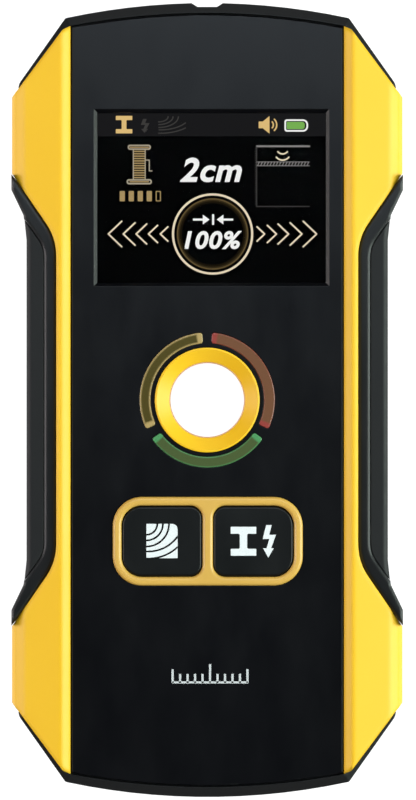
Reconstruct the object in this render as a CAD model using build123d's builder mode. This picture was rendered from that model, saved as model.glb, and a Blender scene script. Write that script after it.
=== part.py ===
from build123d import *
import os
from math import cos, radians, sin

os.makedirs("parts", exist_ok=True)

# A handheld stud finder, lying on its back on four felt pads.
# Millimetres. +Z is the face with the display, +Y is the display end, the
# origin is on the surface it lies on, under the middle of the marking hole.

# ---------------------------------------------------------------- body plan
end_y = 77.0                 # crown of the arched ends
corner_x = 27.5              # where an arch meets the cut corner
corner_y = 74.06
corner_slope = -1.4132       # slope of the cut corners, dy/dx
waist_x = 29.2               # yellow strip at the waist, outer edge
waist_y = 31.3               # where the waist starts to flare
waist_slope = 1.4514         # slope of the flare, dy/dx
front_half_width = 36.6      # front shell, inside the side covers
rear_half_width = 37.75      # rear shell, flush with the side covers
cover_inner_x = 26.5
cover_half_width = 37.95
waist_radius = 11.0          # where the waist turns into the flare
shell_waist_half_width = 31.2
corner_radius = 2.4
end_corner_radius = 0.8      # where an arched end meets a cut corner
back_chamfer = 2.2           # round the rear shell's back
rim_slope = 1.9              # width of the front shell's sloping rim
rim_drop = 1.0               # and how far it falls
notch_mouth = 6.2            # notch in the top end, to mark the centre line
notch_floor = 3.8
notch_depth = 0.8

# ------------------------------------------------------------------ heights
pad_thickness = 1.0
back_z = 0.6                 # outer face of the rear shell
seam_z = 14.0
rim_z = 28.3                 # top of the front shell's rim
deck_top_z = 27.0            # the front panel lies on this
deck_under_z = 24.8
deck_step = 1.0              # seat of the display's lens
side_ceiling_z = 23.6        # underside of the deck beside the panel
deck_half_width = 26.1
deck_pocket_length = 136.0   # the thin part of the deck
cover_seat_z = 25.6
rail_seat_y = 35.3           # the rails' flanges lie on the deck up to here
wall = 2.0
gap = 0.1                    # clearance between fixed neighbours
tongue_depth = 1.2           # seam tongue of the front shell
through = 5.0                # depth of a cut that runs out into the open

# --------------------------------------------------------------- front face
panel_half_width = 26.3
panel_end_y = 74.7
panel_corner_y = 72.2
panel_groove = 0.3
panel_edge_radius = 0.25
window_x, window_y = 0.85, 39.2
window_width, window_height = 44.3, 33.0
window_bevel = 0.65
lens_seat_side, lens_seat_end = 2.5, 2.35      # how far the steps round the
tray_seat_side, tray_seat_end = 1.65, 1.45     # window reach past its edges
sleeve_bore_radius = 7.35
sleeve_wall = 1.0
funnel_radius = 10.15
funnel_depth = 1.5
guide_inner_radius = 11.0
guide_outer_radius = 13.1
guide_corner = 0.5
guide_angles = {
    "light_guide_amber": (94.3, 205.5),
    "light_guide_green": (214.9, 325.3),
    "light_guide_red": (-25.5, 85.9),
}
key_frame_x, key_y = 0.1, -27.35
key_frame_width, key_frame_height = 36.8, 17.2
key_frame_radius = 5.7
key_frame_z = 29.1
key_width, key_height = 15.7, 13.8
key_centres = {"wood": -8.75, "metal": 8.95}
key_clearance = 0.15
key_top_z = 28.7
key_outer_corner, key_inner_corner = 3.9, 2.4

# ------------------------------------------------------------ boards inside
board_z = 17.0
board_thickness = 1.6
board_top_z = board_z + board_thickness
board_side_gap = 1.0
board_end_y = 69.4
board_hole_radius = sleeve_bore_radius + sleeve_wall + 0.7
sensor_board_z = 3.4
sensor_board_thickness = 0.8
sensor_top_z = sensor_board_z + sensor_board_thickness
coil_outer_radius = 23.0
coil_hub_radius = 11.5
coil_height = 6.0
coil_flange = 0.8
coil_hub_wall = 1.2
coil_z = sensor_top_z + 0.2

# ---------------------------------------------------------------- batteries
cell_radius = 5.25
cell_length = 44.5
cell_pitch = 11.5
cell_middle_y = -53.0
cell_z = 8.1
bay_half_width = 25.6
bay_top_y = -36.0
bay_bottom_y = -70.2
bay_ceiling_z = 13.9
tray_wall = 1.3
door_half_width = 25.0
door_tongue = 1.2
door_thickness = 1.8
door_lip_z = 5.0
door_side_gap = 0.2
door_reach = 60.0            # longer than the door, to run out past the end
door_lip_y = -74.8           # inner face of the shell's end, under the lip
tongue_slot_z, tongue_slot_height = 0.9, 1.0
strip_slot_depth, strip_slot_width = 1.4, 4.4
contact_thickness = 0.4
spring_wire_radius = 0.35

# ---------------------------------------------------------------- fasteners
case_screw_x, case_screw_y = 31.0, 47.0
case_boss_radius = 3.7
case_screw_head_radius = 2.4
case_screw_head_z = 4.2
case_screw_top_z = 20.0
case_screw_radius = 1.1
board_post_points = [
    (25.5, 64.0),
    (-25.5, 64.0),
    (25.5, 14.0),
    (-25.5, 14.0),
    (22.0, -58.0),
    (-22.0, -58.0),
]
sensor_post_points = [(23.0, 60.0), (-23.0, 60.0), (24.0, -22.0), (-24.0, -22.0)]
sensor_post_radius = 1.6
board_post_radius = 2.3
board_screw_radius = 0.9
board_screw_reach = 3.5      # above the board
screw_bite = 0.02            # a screw's hole is this much over its thread
head_clearance = 0.3
shank_clearance = 0.2
sensor_pin_radius, sensor_pin_rise = 0.7, 0.8
pad_width, pad_length, pad_edge_radius = 5.4, 9.5, 0.2
pad_x, pad_y = 30.3, 57.8


def corner_line_y(x):
    """Height in plan of the cut corner at x."""
    return corner_y + corner_slope * (x - corner_x)


def waist_line_y(x):
    """Height in plan of the waist flare at x."""
    return waist_y + waist_slope * (x - waist_x)


def write_piece(piece, label):
    """Labels a finished piece and writes it to its own file."""
    piece.label = label
    export_step(piece, f"parts/{label}.step")


def body_plan(half_width):
    """Plan of a shell: arched ends, cut corners and a narrow waist, with sharp end corners."""
    with BuildSketch() as plan:
        with BuildLine():
            TangentArc((0, end_y), (corner_x, corner_y), tangent=(1, 0))
            Polyline(
                (corner_x, corner_y),
                (half_width, corner_line_y(half_width)),
                (half_width, waist_line_y(half_width)),
                (shell_waist_half_width, waist_line_y(shell_waist_half_width)),
                (shell_waist_half_width, 0),
                (0, 0),
                (0, end_y),
            )
        make_face()
        mirror(about=Plane.YZ)
        mirror(about=Plane.XZ)
        side_corners = plan.vertices().filter_by(lambda v: abs(v.X) > corner_x + 1 and abs(v.Y) > 1)
        fillet(side_corners, corner_radius)
    return plan.sketch


def end_corner_edges(shell):
    """Edges of a shell where its arched ends meet the cut corners."""
    rising = shell.edges().filter_by(lambda e: abs((e @ 1).Z - (e @ 0).Z) > rim_drop / 2)
    return rising.filter_by(lambda e: abs(e.center().Y) > corner_y - 2 and abs(e.center().X) > corner_x - 2)


def panel_plan(grow=0.0):
    """Plan of the front panel: straight sides and arched ends."""
    side = panel_half_width + grow
    with BuildSketch() as plan:
        with BuildLine():
            TangentArc((0, panel_end_y + grow), (side, panel_corner_y + grow), tangent=(1, 0))
            Polyline((side, panel_corner_y + grow), (side, 0), (0, 0), (0, panel_end_y + grow))
        make_face()
        mirror(about=Plane.YZ)
        mirror(about=Plane.XZ)
    return plan.sketch


def cover_plan(grow=0.0):
    """Plan of the right-hand side cover, grown all round where it needs room."""
    with BuildSketch() as plan:
        with BuildLine():
            Polyline(
                (cover_inner_x, 0),
                (cover_inner_x, 72.4),
                (27.9, 71.7),
                (36.3, 60.7),
                (cover_half_width, 58.8),
                (cover_half_width, waist_line_y(cover_half_width)),
                (waist_x, waist_y),
                (waist_x, 0),
                close=True,
            )
        make_face()
        fillet(plan.vertices().filter_by(lambda v: v.X < waist_x + gap and 30 < v.Y < 35), waist_radius)
        mirror(about=Plane.XZ)
        if grow:
            offset(amount=grow, kind=Kind.INTERSECTION)
    return plan.sketch


def guide_plan(first_angle, last_angle, grow=0.0):
    """Plan of one light guide: a ring sector with rounded corners."""
    middle = (guide_inner_radius + guide_outer_radius) / 2
    with BuildSketch() as plan:
        with BuildLine():
            CenterArc((0, 0), middle, first_angle, last_angle - first_angle)
        trace(line_width=guide_outer_radius - guide_inner_radius)
        fillet(plan.vertices(), guide_corner)
        if grow:
            offset(amount=grow)
    return plan.sketch


def key_plan(side, inset=0.0):
    """Plan of a key opening, with wider corners on the side away from the other key."""
    with BuildSketch() as plan:
        with Locations((key_centres[side], key_y)):
            Rectangle(key_width, key_height)
        middle_x = key_centres[side]
        outward = 1 if middle_x > 0 else -1
        fillet(plan.vertices().filter_by(lambda v: (v.X - middle_x) * outward > 0), key_outer_corner)
        square_corners = plan.vertices().filter_by(lambda v: abs(v.X - middle_x) > key_width / 2 - 0.01)
        fillet(square_corners.filter_by(lambda v: v.X * outward < 3), key_inner_corner)
        if inset:
            offset(amount=-inset)
    return plan.sketch


front_outline = body_plan(front_half_width)
rear_outline = body_plan(rear_half_width)

with BuildSketch() as notch_plan:
    with BuildLine():
        Polyline(
            (-notch_mouth / 2, end_y),
            (-notch_floor / 2, end_y - notch_depth),
            (notch_floor / 2, end_y - notch_depth),
            (notch_mouth / 2, end_y),
            (0, end_y + notch_depth),
            close=True,
        )
    make_face()


# =============================================================== rear shell
with BuildPart() as rear_shell:
    with BuildSketch(Plane.XY.offset(back_z)):
        add(rear_outline)
    extrude(amount=seam_z - back_z)
    chamfer(rear_shell.faces().sort_by(Axis.Z)[0].outer_wire().edges(), length=back_chamfer)
    fillet(end_corner_edges(rear_shell), end_corner_radius)
    # cavity, with a step round the seam for the front shell's tongue
    with BuildSketch(Plane.XY.offset(back_z + wall)):
        add(front_outline)
        offset(amount=-wall)
    extrude(amount=seam_z, mode=Mode.SUBTRACT)
    with BuildSketch(Plane.XY.offset(seam_z - tongue_depth - gap)):
        add(front_outline)
        offset(amount=-wall / 2 + gap)
    extrude(amount=seam_z, mode=Mode.SUBTRACT)
    # battery tray: side walls, end walls and a ceiling
    with BuildSketch(Plane.XY.offset(back_z + wall - gap)):
        with Locations((0, (bay_top_y + bay_bottom_y) / 2)):
            Rectangle(2 * (bay_half_width + tray_wall), bay_top_y - bay_bottom_y + 2 * tray_wall)
    extrude(amount=bay_ceiling_z + tray_wall - back_z - wall + gap)
    with BuildSketch(Plane.XY.offset(back_z)):
        with Locations((0, (bay_top_y + bay_bottom_y) / 2)):
            Rectangle(2 * bay_half_width, bay_top_y - bay_bottom_y)
    extrude(amount=bay_ceiling_z - back_z, mode=Mode.SUBTRACT)
    # slots in the ceiling for the two terminal strips
    with BuildSketch(Plane.XY.offset(bay_ceiling_z - gap)):
        with Locations(
            (bay_half_width - strip_slot_depth / 2, cell_middle_y + cell_pitch),
            (strip_slot_depth / 2 - bay_half_width, cell_middle_y - cell_pitch),
        ):
            Rectangle(strip_slot_depth, strip_slot_width)
    extrude(amount=tray_wall + 2 * gap, mode=Mode.SUBTRACT)
    # screw bosses
    with BuildSketch(Plane.XY.offset(back_z + wall - gap)):
        with GridLocations(2 * case_screw_x, 2 * case_screw_y, 2, 2):
            Circle(case_boss_radius)
    extrude(amount=seam_z - tongue_depth - back_z - wall - 2 * gap)
    with BuildSketch(Plane.XY.offset(back_z)):
        with GridLocations(2 * case_screw_x, 2 * case_screw_y, 2, 2):
            Circle(case_screw_head_radius + head_clearance)
    extrude(amount=case_screw_head_z - back_z, mode=Mode.SUBTRACT)
    with BuildSketch(Plane.XY.offset(back_z)):
        with GridLocations(2 * case_screw_x, 2 * case_screw_y, 2, 2):
            Circle(case_screw_radius + shank_clearance)
    extrude(amount=seam_z, mode=Mode.SUBTRACT)
    # posts under the sensor board, with a pin each that locates it
    with BuildSketch(Plane.XY.offset(back_z + wall - gap)):
        with Locations(sensor_post_points):
            Circle(sensor_post_radius)
    extrude(amount=sensor_board_z - back_z - wall + gap)
    with BuildSketch(Plane.XY.offset(sensor_board_z - gap)):
        with Locations(sensor_post_points):
            Circle(sensor_pin_radius)
    extrude(amount=sensor_board_thickness + sensor_pin_rise)
    # seat for the marking sleeve
    with BuildSketch(Plane.XY.offset(back_z)):
        Circle(sleeve_bore_radius + sleeve_wall + gap)
    extrude(amount=seam_z, mode=Mode.SUBTRACT)
    # opening for the battery door, with a groove each side for its tongues
    with BuildSketch(Plane.XY.offset(back_z)):
        with Locations((0, bay_top_y)):
            Rectangle(2 * (door_half_width + door_side_gap), door_reach, align=(Align.CENTER, Align.MAX))
    extrude(amount=door_thickness + gap, mode=Mode.SUBTRACT)
    with BuildSketch(Plane.XY.offset(back_z + tongue_slot_z)):
        with Locations((0, bay_top_y - 1)):
            slot_width = 2 * (door_half_width + door_tongue + door_side_gap)
            Rectangle(slot_width, door_reach, align=(Align.CENTER, Align.MAX))
    extrude(amount=tongue_slot_height, mode=Mode.SUBTRACT)
    with BuildSketch(Plane.XY.offset(back_z)):
        with Locations((0, door_lip_y)):
            Rectangle(2 * (door_half_width + door_side_gap), door_reach, align=(Align.CENTER, Align.MAX))
    extrude(amount=door_lip_z + door_side_gap - back_z, mode=Mode.SUBTRACT)
    # notch that marks the centre line
    with BuildSketch(Plane.XY.offset(back_z)):
        add(notch_plan.sketch)
    extrude(amount=seam_z, mode=Mode.SUBTRACT)
    # seats for the felt pads
    with BuildSketch(Plane.XY.offset(back_z)):
        with GridLocations(2 * pad_x, 2 * pad_y, 2, 2):
            SlotOverall(pad_length + 3 * gap, pad_width + 3 * gap, rotation=90)
    extrude(amount=pad_thickness - back_z, mode=Mode.SUBTRACT)
write_piece(rear_shell.part, "rear_shell")

# ============================================================== front shell
with BuildPart() as front_shell:
    with BuildSketch(Plane.XY.offset(seam_z)):
        add(front_outline)
    extrude(amount=rim_z - seam_z)
    top_face = front_shell.faces().sort_by(Axis.Z)[-1]
    chamfer(top_face.outer_wire().edges(), length=rim_slope, length2=rim_drop, reference=top_face)
    fillet(end_corner_edges(front_shell), end_corner_radius)
    with BuildSketch(Plane.XY.offset(seam_z)):
        add(front_outline)
        offset(amount=-wall)
    extrude(amount=side_ceiling_z - seam_z, mode=Mode.SUBTRACT)
    with BuildSketch(Plane.XY.offset(side_ceiling_z - gap)):
        Rectangle(2 * deck_half_width, deck_pocket_length)
    extrude(amount=deck_under_z - side_ceiling_z + gap, mode=Mode.SUBTRACT)
    # tongue round the seam
    with BuildSketch(Plane.XY.offset(seam_z - tongue_depth)):
        add(front_outline)
        offset(amount=-wall / 2)
        add(offset(front_outline, amount=-wall, mode=Mode.PRIVATE), mode=Mode.SUBTRACT)
    extrude(amount=tongue_depth + wall / 4)
    with BuildSketch(Plane.XY.offset(seam_z)):
        add(notch_plan.sketch)
    extrude(amount=rim_z, mode=Mode.SUBTRACT)
    # recess for the front panel and seats for the side covers and the rails
    with BuildSketch(Plane.XY.offset(deck_top_z)):
        add(panel_plan(panel_groove))
    extrude(amount=through, mode=Mode.SUBTRACT)
    with BuildSketch(Plane.XY.offset(cover_seat_z)):
        add(cover_plan(gap))
        mirror(about=Plane.YZ)
    extrude(amount=through, mode=Mode.SUBTRACT)
    with BuildSketch(Plane.XY.offset(deck_top_z)):
        Rectangle(2 * front_half_width, 2 * rail_seat_y)
    extrude(amount=through, mode=Mode.SUBTRACT)
    # stepped opening for the lens and the display
    with BuildSketch(Plane.XY.offset(deck_top_z - deck_step)):
        with Locations((window_x, window_y)):
            Rectangle(window_width + 2 * lens_seat_side, window_height + 2 * lens_seat_end)
    extrude(amount=through, mode=Mode.SUBTRACT)
    with BuildSketch(Plane.XY.offset(side_ceiling_z)):
        with Locations((window_x, window_y)):
            Rectangle(window_width + 2 * tray_seat_side, window_height + 2 * tray_seat_end)
    extrude(amount=through, mode=Mode.SUBTRACT)
    # openings for the keys, the sleeve and the light guides
    with BuildSketch(Plane.XY.offset(side_ceiling_z)):
        for side in key_centres:
            add(key_plan(side))
        Circle(sleeve_bore_radius + sleeve_wall + gap)
        for first_angle, last_angle in guide_angles.values():
            add(guide_plan(first_angle, last_angle, gap))
    extrude(amount=through, mode=Mode.SUBTRACT)
    # bosses for the case screws and posts for the main board
    with BuildSketch(Plane.XY.offset(seam_z - tongue_depth - gap)):
        with GridLocations(2 * case_screw_x, 2 * case_screw_y, 2, 2):
            Circle(case_boss_radius - head_clearance - gap)
    extrude(amount=side_ceiling_z - seam_z + tongue_depth + wall / 4)
    with BuildSketch(Plane.XY.offset(seam_z - tongue_depth)):
        with GridLocations(2 * case_screw_x, 2 * case_screw_y, 2, 2):
            Circle(case_screw_radius + screw_bite)
    extrude(amount=case_screw_top_z + wall / 4 - seam_z + tongue_depth, mode=Mode.SUBTRACT)
    with BuildSketch(Plane.XY.offset(board_top_z)):
        with Locations(board_post_points):
            Circle(board_post_radius)
    extrude(amount=deck_under_z - board_top_z + wall / 4)
    with BuildSketch(Plane.XY.offset(board_top_z)):
        with Locations(board_post_points):
            Circle(board_screw_radius + screw_bite)
    extrude(amount=board_screw_reach + wall / 4, mode=Mode.SUBTRACT)
write_piece(front_shell.part, "front_shell")

# ============================================================== front panel
with BuildPart() as front_panel:
    with BuildSketch(Plane.XY.offset(deck_top_z)):
        add(panel_plan())
    extrude(amount=rim_z - deck_top_z)
    fillet(front_panel.faces().sort_by(Axis.Z)[-1].outer_wire().edges(), panel_edge_radius)
    with BuildSketch(Plane.XY.offset(deck_top_z)):
        with Locations((window_x, window_y)):
            Rectangle(window_width, window_height)
    extrude(amount=through, mode=Mode.SUBTRACT)
    window_edges = front_panel.faces().sort_by(Axis.Z)[-1].inner_wires().edges()
    chamfer(window_edges, length=window_bevel)
    with BuildSketch(Plane.XY.offset(deck_top_z)):
        Circle(funnel_radius + gap)
        for first_angle, last_angle in guide_angles.values():
            add(guide_plan(first_angle, last_angle, gap / 2))
        with Locations((key_frame_x, key_y)):
            RectangleRounded(key_frame_width + 2 * gap, key_frame_height + 2 * gap, key_frame_radius + gap)
    extrude(amount=through, mode=Mode.SUBTRACT)
write_piece(front_panel.part, "front_panel")

# ======================================================= yellow side covers
cover_ridge = (28.1, 29.8)
cover_shoulder = (35.5, 28.1)
cover_edge_radius = 0.5

with BuildPart() as side_cover_right:
    with BuildSketch(Plane.XZ.offset(-end_y)):
        with BuildLine():
            Polyline(
                (cover_inner_x, cover_seat_z + gap),
                (cover_inner_x, 28.6),
                cover_ridge,
                cover_shoulder,
                (37.2, 26.9),
                (cover_half_width, 25.2),
                (cover_half_width, seam_z + gap),
                (front_half_width + gap, seam_z + gap),
                (front_half_width + gap, cover_seat_z + gap),
                close=True,
            )
        make_face()
    extrude(amount=2 * end_y)
    with BuildSketch(Plane.XY.offset(seam_z)):
        add(cover_plan())
    extrude(amount=rim_z, mode=Mode.INTERSECT)
    lengthways = side_cover_right.edges().filter_by(Axis.Y)
    ridge = lengthways.group_by(Axis.Z)[-1]
    shoulders = lengthways.filter_by(lambda e: e.center().X > cover_shoulder[0] - gap and 26 < e.center().Z)
    fillet(ridge + shoulders, cover_edge_radius)
write_piece(side_cover_right.part, "side_cover_right")

with BuildPart() as side_cover_left:
    mirror(side_cover_right.part, about=Plane.YZ)
write_piece(side_cover_left.part, "side_cover_left")

# ============================================== side rails and rubber grips
rail_drop = 0.264            # along y, leaves 0.15 square to the flare
rail_inner_x = 29.35
rail_core_x = shell_waist_half_width + 0.15
rail_base_z = 2.8
rail_top_z = 28.4
flange_under_z = 27.2
waist_half_width = 35.05
grip_inner_x = 31.7
grip_side_x = 33.6
grip_base_z = 5.0
grip_shelf_z = 26.6
grip_top_z = 28.2
flare_edge_y = 40.7          # where the flare's point is cut off
flare_corner = (35.6, 35.8)
rail_base_chamfer = 0.5
rail_edge_radius = 0.4
grip_edge_radius = 1.1
grip_tip = (35.45, 34.9)

with BuildSketch() as rail_plan:
    with BuildLine():
        Polyline(
            (rail_inner_x, 0),
            (rail_inner_x, waist_line_y(rail_inner_x) - rail_drop),
            (cover_half_width, waist_line_y(cover_half_width) - rail_drop),
            (cover_half_width, flare_edge_y),
            flare_corner,
            (waist_half_width, 31.0),
            (waist_half_width, 0),
            close=True,
        )
    make_face()
    fillet(rail_plan.vertices().filter_by(lambda v: v.X < 30 and v.Y > 20), waist_radius)
    fillet(rail_plan.vertices().filter_by(lambda v: v.X > 35.5 and 30 < v.Y < 43), 0.8)
    mirror(about=Plane.XZ)

with BuildSketch() as grip_plan:
    with BuildLine():
        Polyline(
            (grip_inner_x, 0),
            (grip_inner_x, 29.5),
            grip_tip,
            (waist_half_width, 31.0),
            (waist_half_width, 0),
            close=True,
        )
    make_face()
    fillet(grip_plan.vertices().filter_by(lambda v: v.X < 32 and v.Y > 20), 6.0)
    mirror(about=Plane.XZ)

with BuildPart() as side_rail_right:
    with BuildSketch(Plane.XY.offset(rail_base_z)):
        add(rail_plan.sketch)
    extrude(amount=rail_top_z - rail_base_z)
    base_edges = side_rail_right.edges().group_by(Axis.Z)[0]
    chamfer(base_edges.filter_by(lambda e: e.center().X > waist_half_width - gap), length=rail_base_chamfer)
    # the flange alone lies over the shells
    with BuildSketch(Plane.XY.offset(rail_base_z)):
        with Locations((rail_core_x, 0)):
            Rectangle(rail_core_x, 2 * end_y, align=(Align.MAX, Align.CENTER))
    extrude(amount=flange_under_z - rail_base_z, mode=Mode.SUBTRACT)
    # seat for the grip: a shelf on top and a step down the side
    with BuildSketch(Plane.XY.offset(grip_shelf_z)):
        add(grip_plan.sketch)
        offset(amount=gap)
    extrude(amount=through, mode=Mode.SUBTRACT)
    with BuildSketch(Plane.XY.offset(grip_base_z - gap)):
        add(grip_plan.sketch)
        offset(amount=gap)
        with Locations((grip_side_x - gap, 0)):
            Rectangle(grip_side_x, 2 * end_y, align=(Align.MAX, Align.CENTER), mode=Mode.SUBTRACT)
    extrude(amount=rail_top_z, mode=Mode.SUBTRACT)
    top_edges = side_rail_right.edges().group_by(Axis.Z)[-1]
    fillet(top_edges, rail_edge_radius)
write_piece(side_rail_right.part, "side_rail_right")

with BuildPart() as side_rail_left:
    mirror(side_rail_right.part, about=Plane.YZ)
write_piece(side_rail_left.part, "side_rail_left")

grip_groove_pitch = 3.0
grip_groove_width = 1.1
grip_groove_count = 17
grip_groove_length = 18.0
grip_groove_depth = 0.5
grip_groove_z = 16.0

with BuildPart() as grip_pad_right:
    with BuildSketch(Plane.XY.offset(grip_base_z)):
        add(grip_plan.sketch)
    extrude(amount=grip_top_z - grip_base_z)
    grip_top = grip_pad_right.edges().group_by(Axis.Z)[-1]
    fillet(grip_top.filter_by(lambda e: e.center().X > waist_half_width - gap), grip_edge_radius)
    with BuildSketch(Plane.XY.offset(grip_base_z)):
        with Locations((grip_side_x, 0)):
            Rectangle(grip_side_x, 2 * end_y, align=(Align.MAX, Align.CENTER))
    extrude(amount=grip_shelf_z + gap - grip_base_z, mode=Mode.SUBTRACT)
    # upright grooves down the side
    with BuildSketch(Plane.YZ.offset(waist_half_width - grip_groove_depth)):
        with Locations((0, grip_groove_z)):
            with GridLocations(grip_groove_pitch, 1, grip_groove_count, 1):
                SlotOverall(grip_groove_length, grip_groove_width, rotation=90)
    extrude(amount=through, mode=Mode.SUBTRACT)
write_piece(grip_pad_right.part, "grip_pad_right")

with BuildPart() as grip_pad_left:
    mirror(grip_pad_right.part, about=Plane.YZ)
write_piece(grip_pad_left.part, "grip_pad_left")

# =========================================================== marking sleeve
sleeve_base_z = back_z + 0.2
sleeve_top_z = rim_z + 0.6
sleeve_lip = 0.35            # flat width of the funnel's outer edge

with BuildPart() as marking_sleeve:
    with BuildSketch(Plane.XZ):
        with BuildLine():
            Polyline(
                (sleeve_bore_radius, sleeve_base_z),
                (sleeve_bore_radius + sleeve_wall, sleeve_base_z),
                (sleeve_bore_radius + sleeve_wall, deck_top_z + gap / 2),
                (funnel_radius, deck_top_z + gap / 2),
                (funnel_radius, sleeve_top_z - gap),
                (funnel_radius - sleeve_lip, sleeve_top_z),
                (sleeve_bore_radius, sleeve_top_z - funnel_depth),
                close=True,
            )
        make_face()
    revolve(axis=Axis.Z)
write_piece(marking_sleeve.part, "marking_sleeve")

# ============================================================= light guides
guide_base_z = 20.6
guide_top_z = rim_z + 0.15
guide_edge_radius = 0.2
for guide_name, (first_angle, last_angle) in guide_angles.items():
    with BuildPart() as light_guide:
        with BuildSketch(Plane.XY.offset(guide_base_z)):
            add(guide_plan(first_angle, last_angle))
        extrude(amount=guide_top_z - guide_base_z)
        fillet(light_guide.edges().group_by(Axis.Z)[-1], guide_edge_radius)
    write_piece(light_guide.part, guide_name)

# ===================================================== key frame and the keys
frame_edge_radius = 0.65
key_edge_radius = 0.4
key_wall = 1.6
key_roof = 1.2
key_post_radius = 2.2
key_flange_width, key_flange_height = key_width + 1.0, key_height + 1.2

with BuildPart() as key_frame:
    with BuildSketch(Plane.XY.offset(deck_top_z)):
        with Locations((key_frame_x, key_y)):
            RectangleRounded(key_frame_width, key_frame_height, key_frame_radius)
        for side in key_centres:
            add(key_plan(side), mode=Mode.SUBTRACT)
    extrude(amount=key_frame_z - deck_top_z)
    fillet(key_frame.edges().group_by(Axis.Z)[-1], frame_edge_radius)
write_piece(key_frame.part, "key_frame")

key_flange_top_z = deck_under_z - gap
key_flange_z = 23.5
key_post_z = 23.05
switch_top_z = 21.8
switch_size = 6.2
stem_radius = 1.7
stem_base_z = 20.4
stem_well_depth = 1.2
switch_lead_pitch, switch_lead_length, switch_lead_width = 4.5, 1.6, 0.7

for side, middle_x in key_centres.items():
    with BuildPart() as key_cap:
        with BuildSketch(Plane.XY.offset(key_flange_top_z)):
            add(key_plan(side, key_clearance))
        extrude(amount=key_top_z - key_flange_top_z)
        fillet(key_cap.edges().group_by(Axis.Z)[-1], key_edge_radius)
        with BuildSketch(Plane.XY.offset(key_flange_z)):
            with Locations((middle_x, key_y)):
                RectangleRounded(key_flange_width, key_flange_height, key_outer_corner - 1)
        extrude(amount=key_flange_top_z - key_flange_z)
        with BuildSketch(Plane.XY.offset(key_flange_z)):
            with Locations((middle_x, key_y)):
                RectangleRounded(key_width - 2 * key_wall, key_height - 2 * key_wall, key_inner_corner)
        extrude(amount=key_top_z - key_roof - key_flange_z, mode=Mode.SUBTRACT)
        with BuildSketch(Plane.XY.offset(key_post_z)):
            with Locations((middle_x, key_y)):
                Circle(key_post_radius)
        extrude(amount=key_top_z - key_roof / 2 - key_post_z)
    write_piece(key_cap.part, f"{side}_key")

    with BuildPart() as switch_body:
        with BuildSketch(Plane.XY.offset(board_top_z)):
            with Locations((middle_x, key_y)):
                RectangleRounded(switch_size, switch_size, 4 * gap)
        extrude(amount=switch_top_z - board_top_z)
        with BuildSketch(Plane.XY.offset(stem_base_z - stem_well_depth)):
            with Locations((middle_x, key_y)):
                Circle(stem_radius + gap)
        extrude(amount=through, mode=Mode.SUBTRACT)
        with BuildSketch(Plane.XY.offset(board_top_z)):
            with Locations((middle_x, key_y)):
                with GridLocations(switch_size + 1.0, switch_lead_pitch, 2, 2):
                    Rectangle(switch_lead_length, switch_lead_width)
        extrude(amount=4 * gap)
    write_piece(switch_body.part, f"{side}_switch")

    with BuildPart() as switch_stem:
        with BuildSketch(Plane.XY.offset(stem_base_z)):
            with Locations((middle_x, key_y)):
                Circle(stem_radius)
        extrude(amount=key_post_z - gap / 2 - stem_base_z)
        chamfer(switch_stem.edges().group_by(Axis.Z)[-1], length=3 * gap)
    write_piece(switch_stem.part, f"{side}_switch_stem")

# ================================================================== display
lens_z = deck_top_z - deck_step
gasket_thickness = 0.3
gasket_margin = 0.5          # past the window, all round
glass_thickness = 1.4
tray_z = 21.6
tray_corner = 0.6
lens_width = window_width + 2 * lens_seat_side - 3 * gap
lens_height = window_height + 2 * lens_seat_end - 3 * gap
glass_width = window_width + 2 * tray_seat_side - 3 * gap
glass_height = window_height + 2 * tray_seat_end - 3 * gap
tray_width, tray_height = glass_width + 2.7, glass_height + 2.4
gasket_window = (window_width + 2 * gasket_margin, window_height + 2 * gasket_margin)


def display_block(bottom, top, width, height, window=None):
    """A plate centred on the window, or a ring where window gives its opening."""
    with BuildPart() as block:
        with BuildSketch(Plane.XY.offset(bottom)):
            with Locations((window_x, window_y)):
                Rectangle(width, height)
                if window:
                    Rectangle(*window, mode=Mode.SUBTRACT)
        extrude(amount=top - bottom)
    return block.part


glass_top_z = lens_z - gasket_thickness
glass_z = glass_top_z - glass_thickness
write_piece(display_block(lens_z, deck_top_z, lens_width, lens_height), "display_lens")
write_piece(display_block(glass_top_z, lens_z, glass_width, glass_height, gasket_window), "display_gasket")
write_piece(display_block(glass_z, glass_top_z, glass_width, glass_height), "display_glass")

with BuildPart() as display_frame:
    with BuildSketch(Plane.XY.offset(tray_z)):
        with Locations((window_x, window_y)):
            RectangleRounded(tray_width, tray_height, tray_corner)
    extrude(amount=deck_under_z - gap - tray_z)
    with BuildSketch(Plane.XY.offset(glass_z)):
        with Locations((window_x, window_y)):
            Rectangle(glass_width + 2 * gap, glass_height + 2 * gap)
    extrude(amount=through, mode=Mode.SUBTRACT)
write_piece(display_frame.part, "display_frame")

flex_width = 14.0
flex_thickness = 0.25
flex_bend = 0.8
flex_y = window_y - tray_height / 2
flex_x = window_x - flex_width / 2
flex_drop_y = flex_y - 0.3   # where it hangs down past the tray
flex_low_z = board_top_z + 0.7
connector_y = flex_y + 8.0
connector_mouth_y = flex_y + 6.6
connector_depth = 3.6
connector_height = 1.4
with BuildPart() as display_flex:
    with BuildSketch(Plane.YZ.offset(flex_x)):
        with BuildLine():
            FilletPolyline(
                (flex_drop_y, deck_under_z - 4 * gap),
                (flex_drop_y, flex_low_z),
                (connector_mouth_y, flex_low_z),
                radius=flex_bend,
            )
        trace(line_width=flex_thickness)
    extrude(amount=flex_width)
write_piece(display_flex.part, "display_flex")

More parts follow.
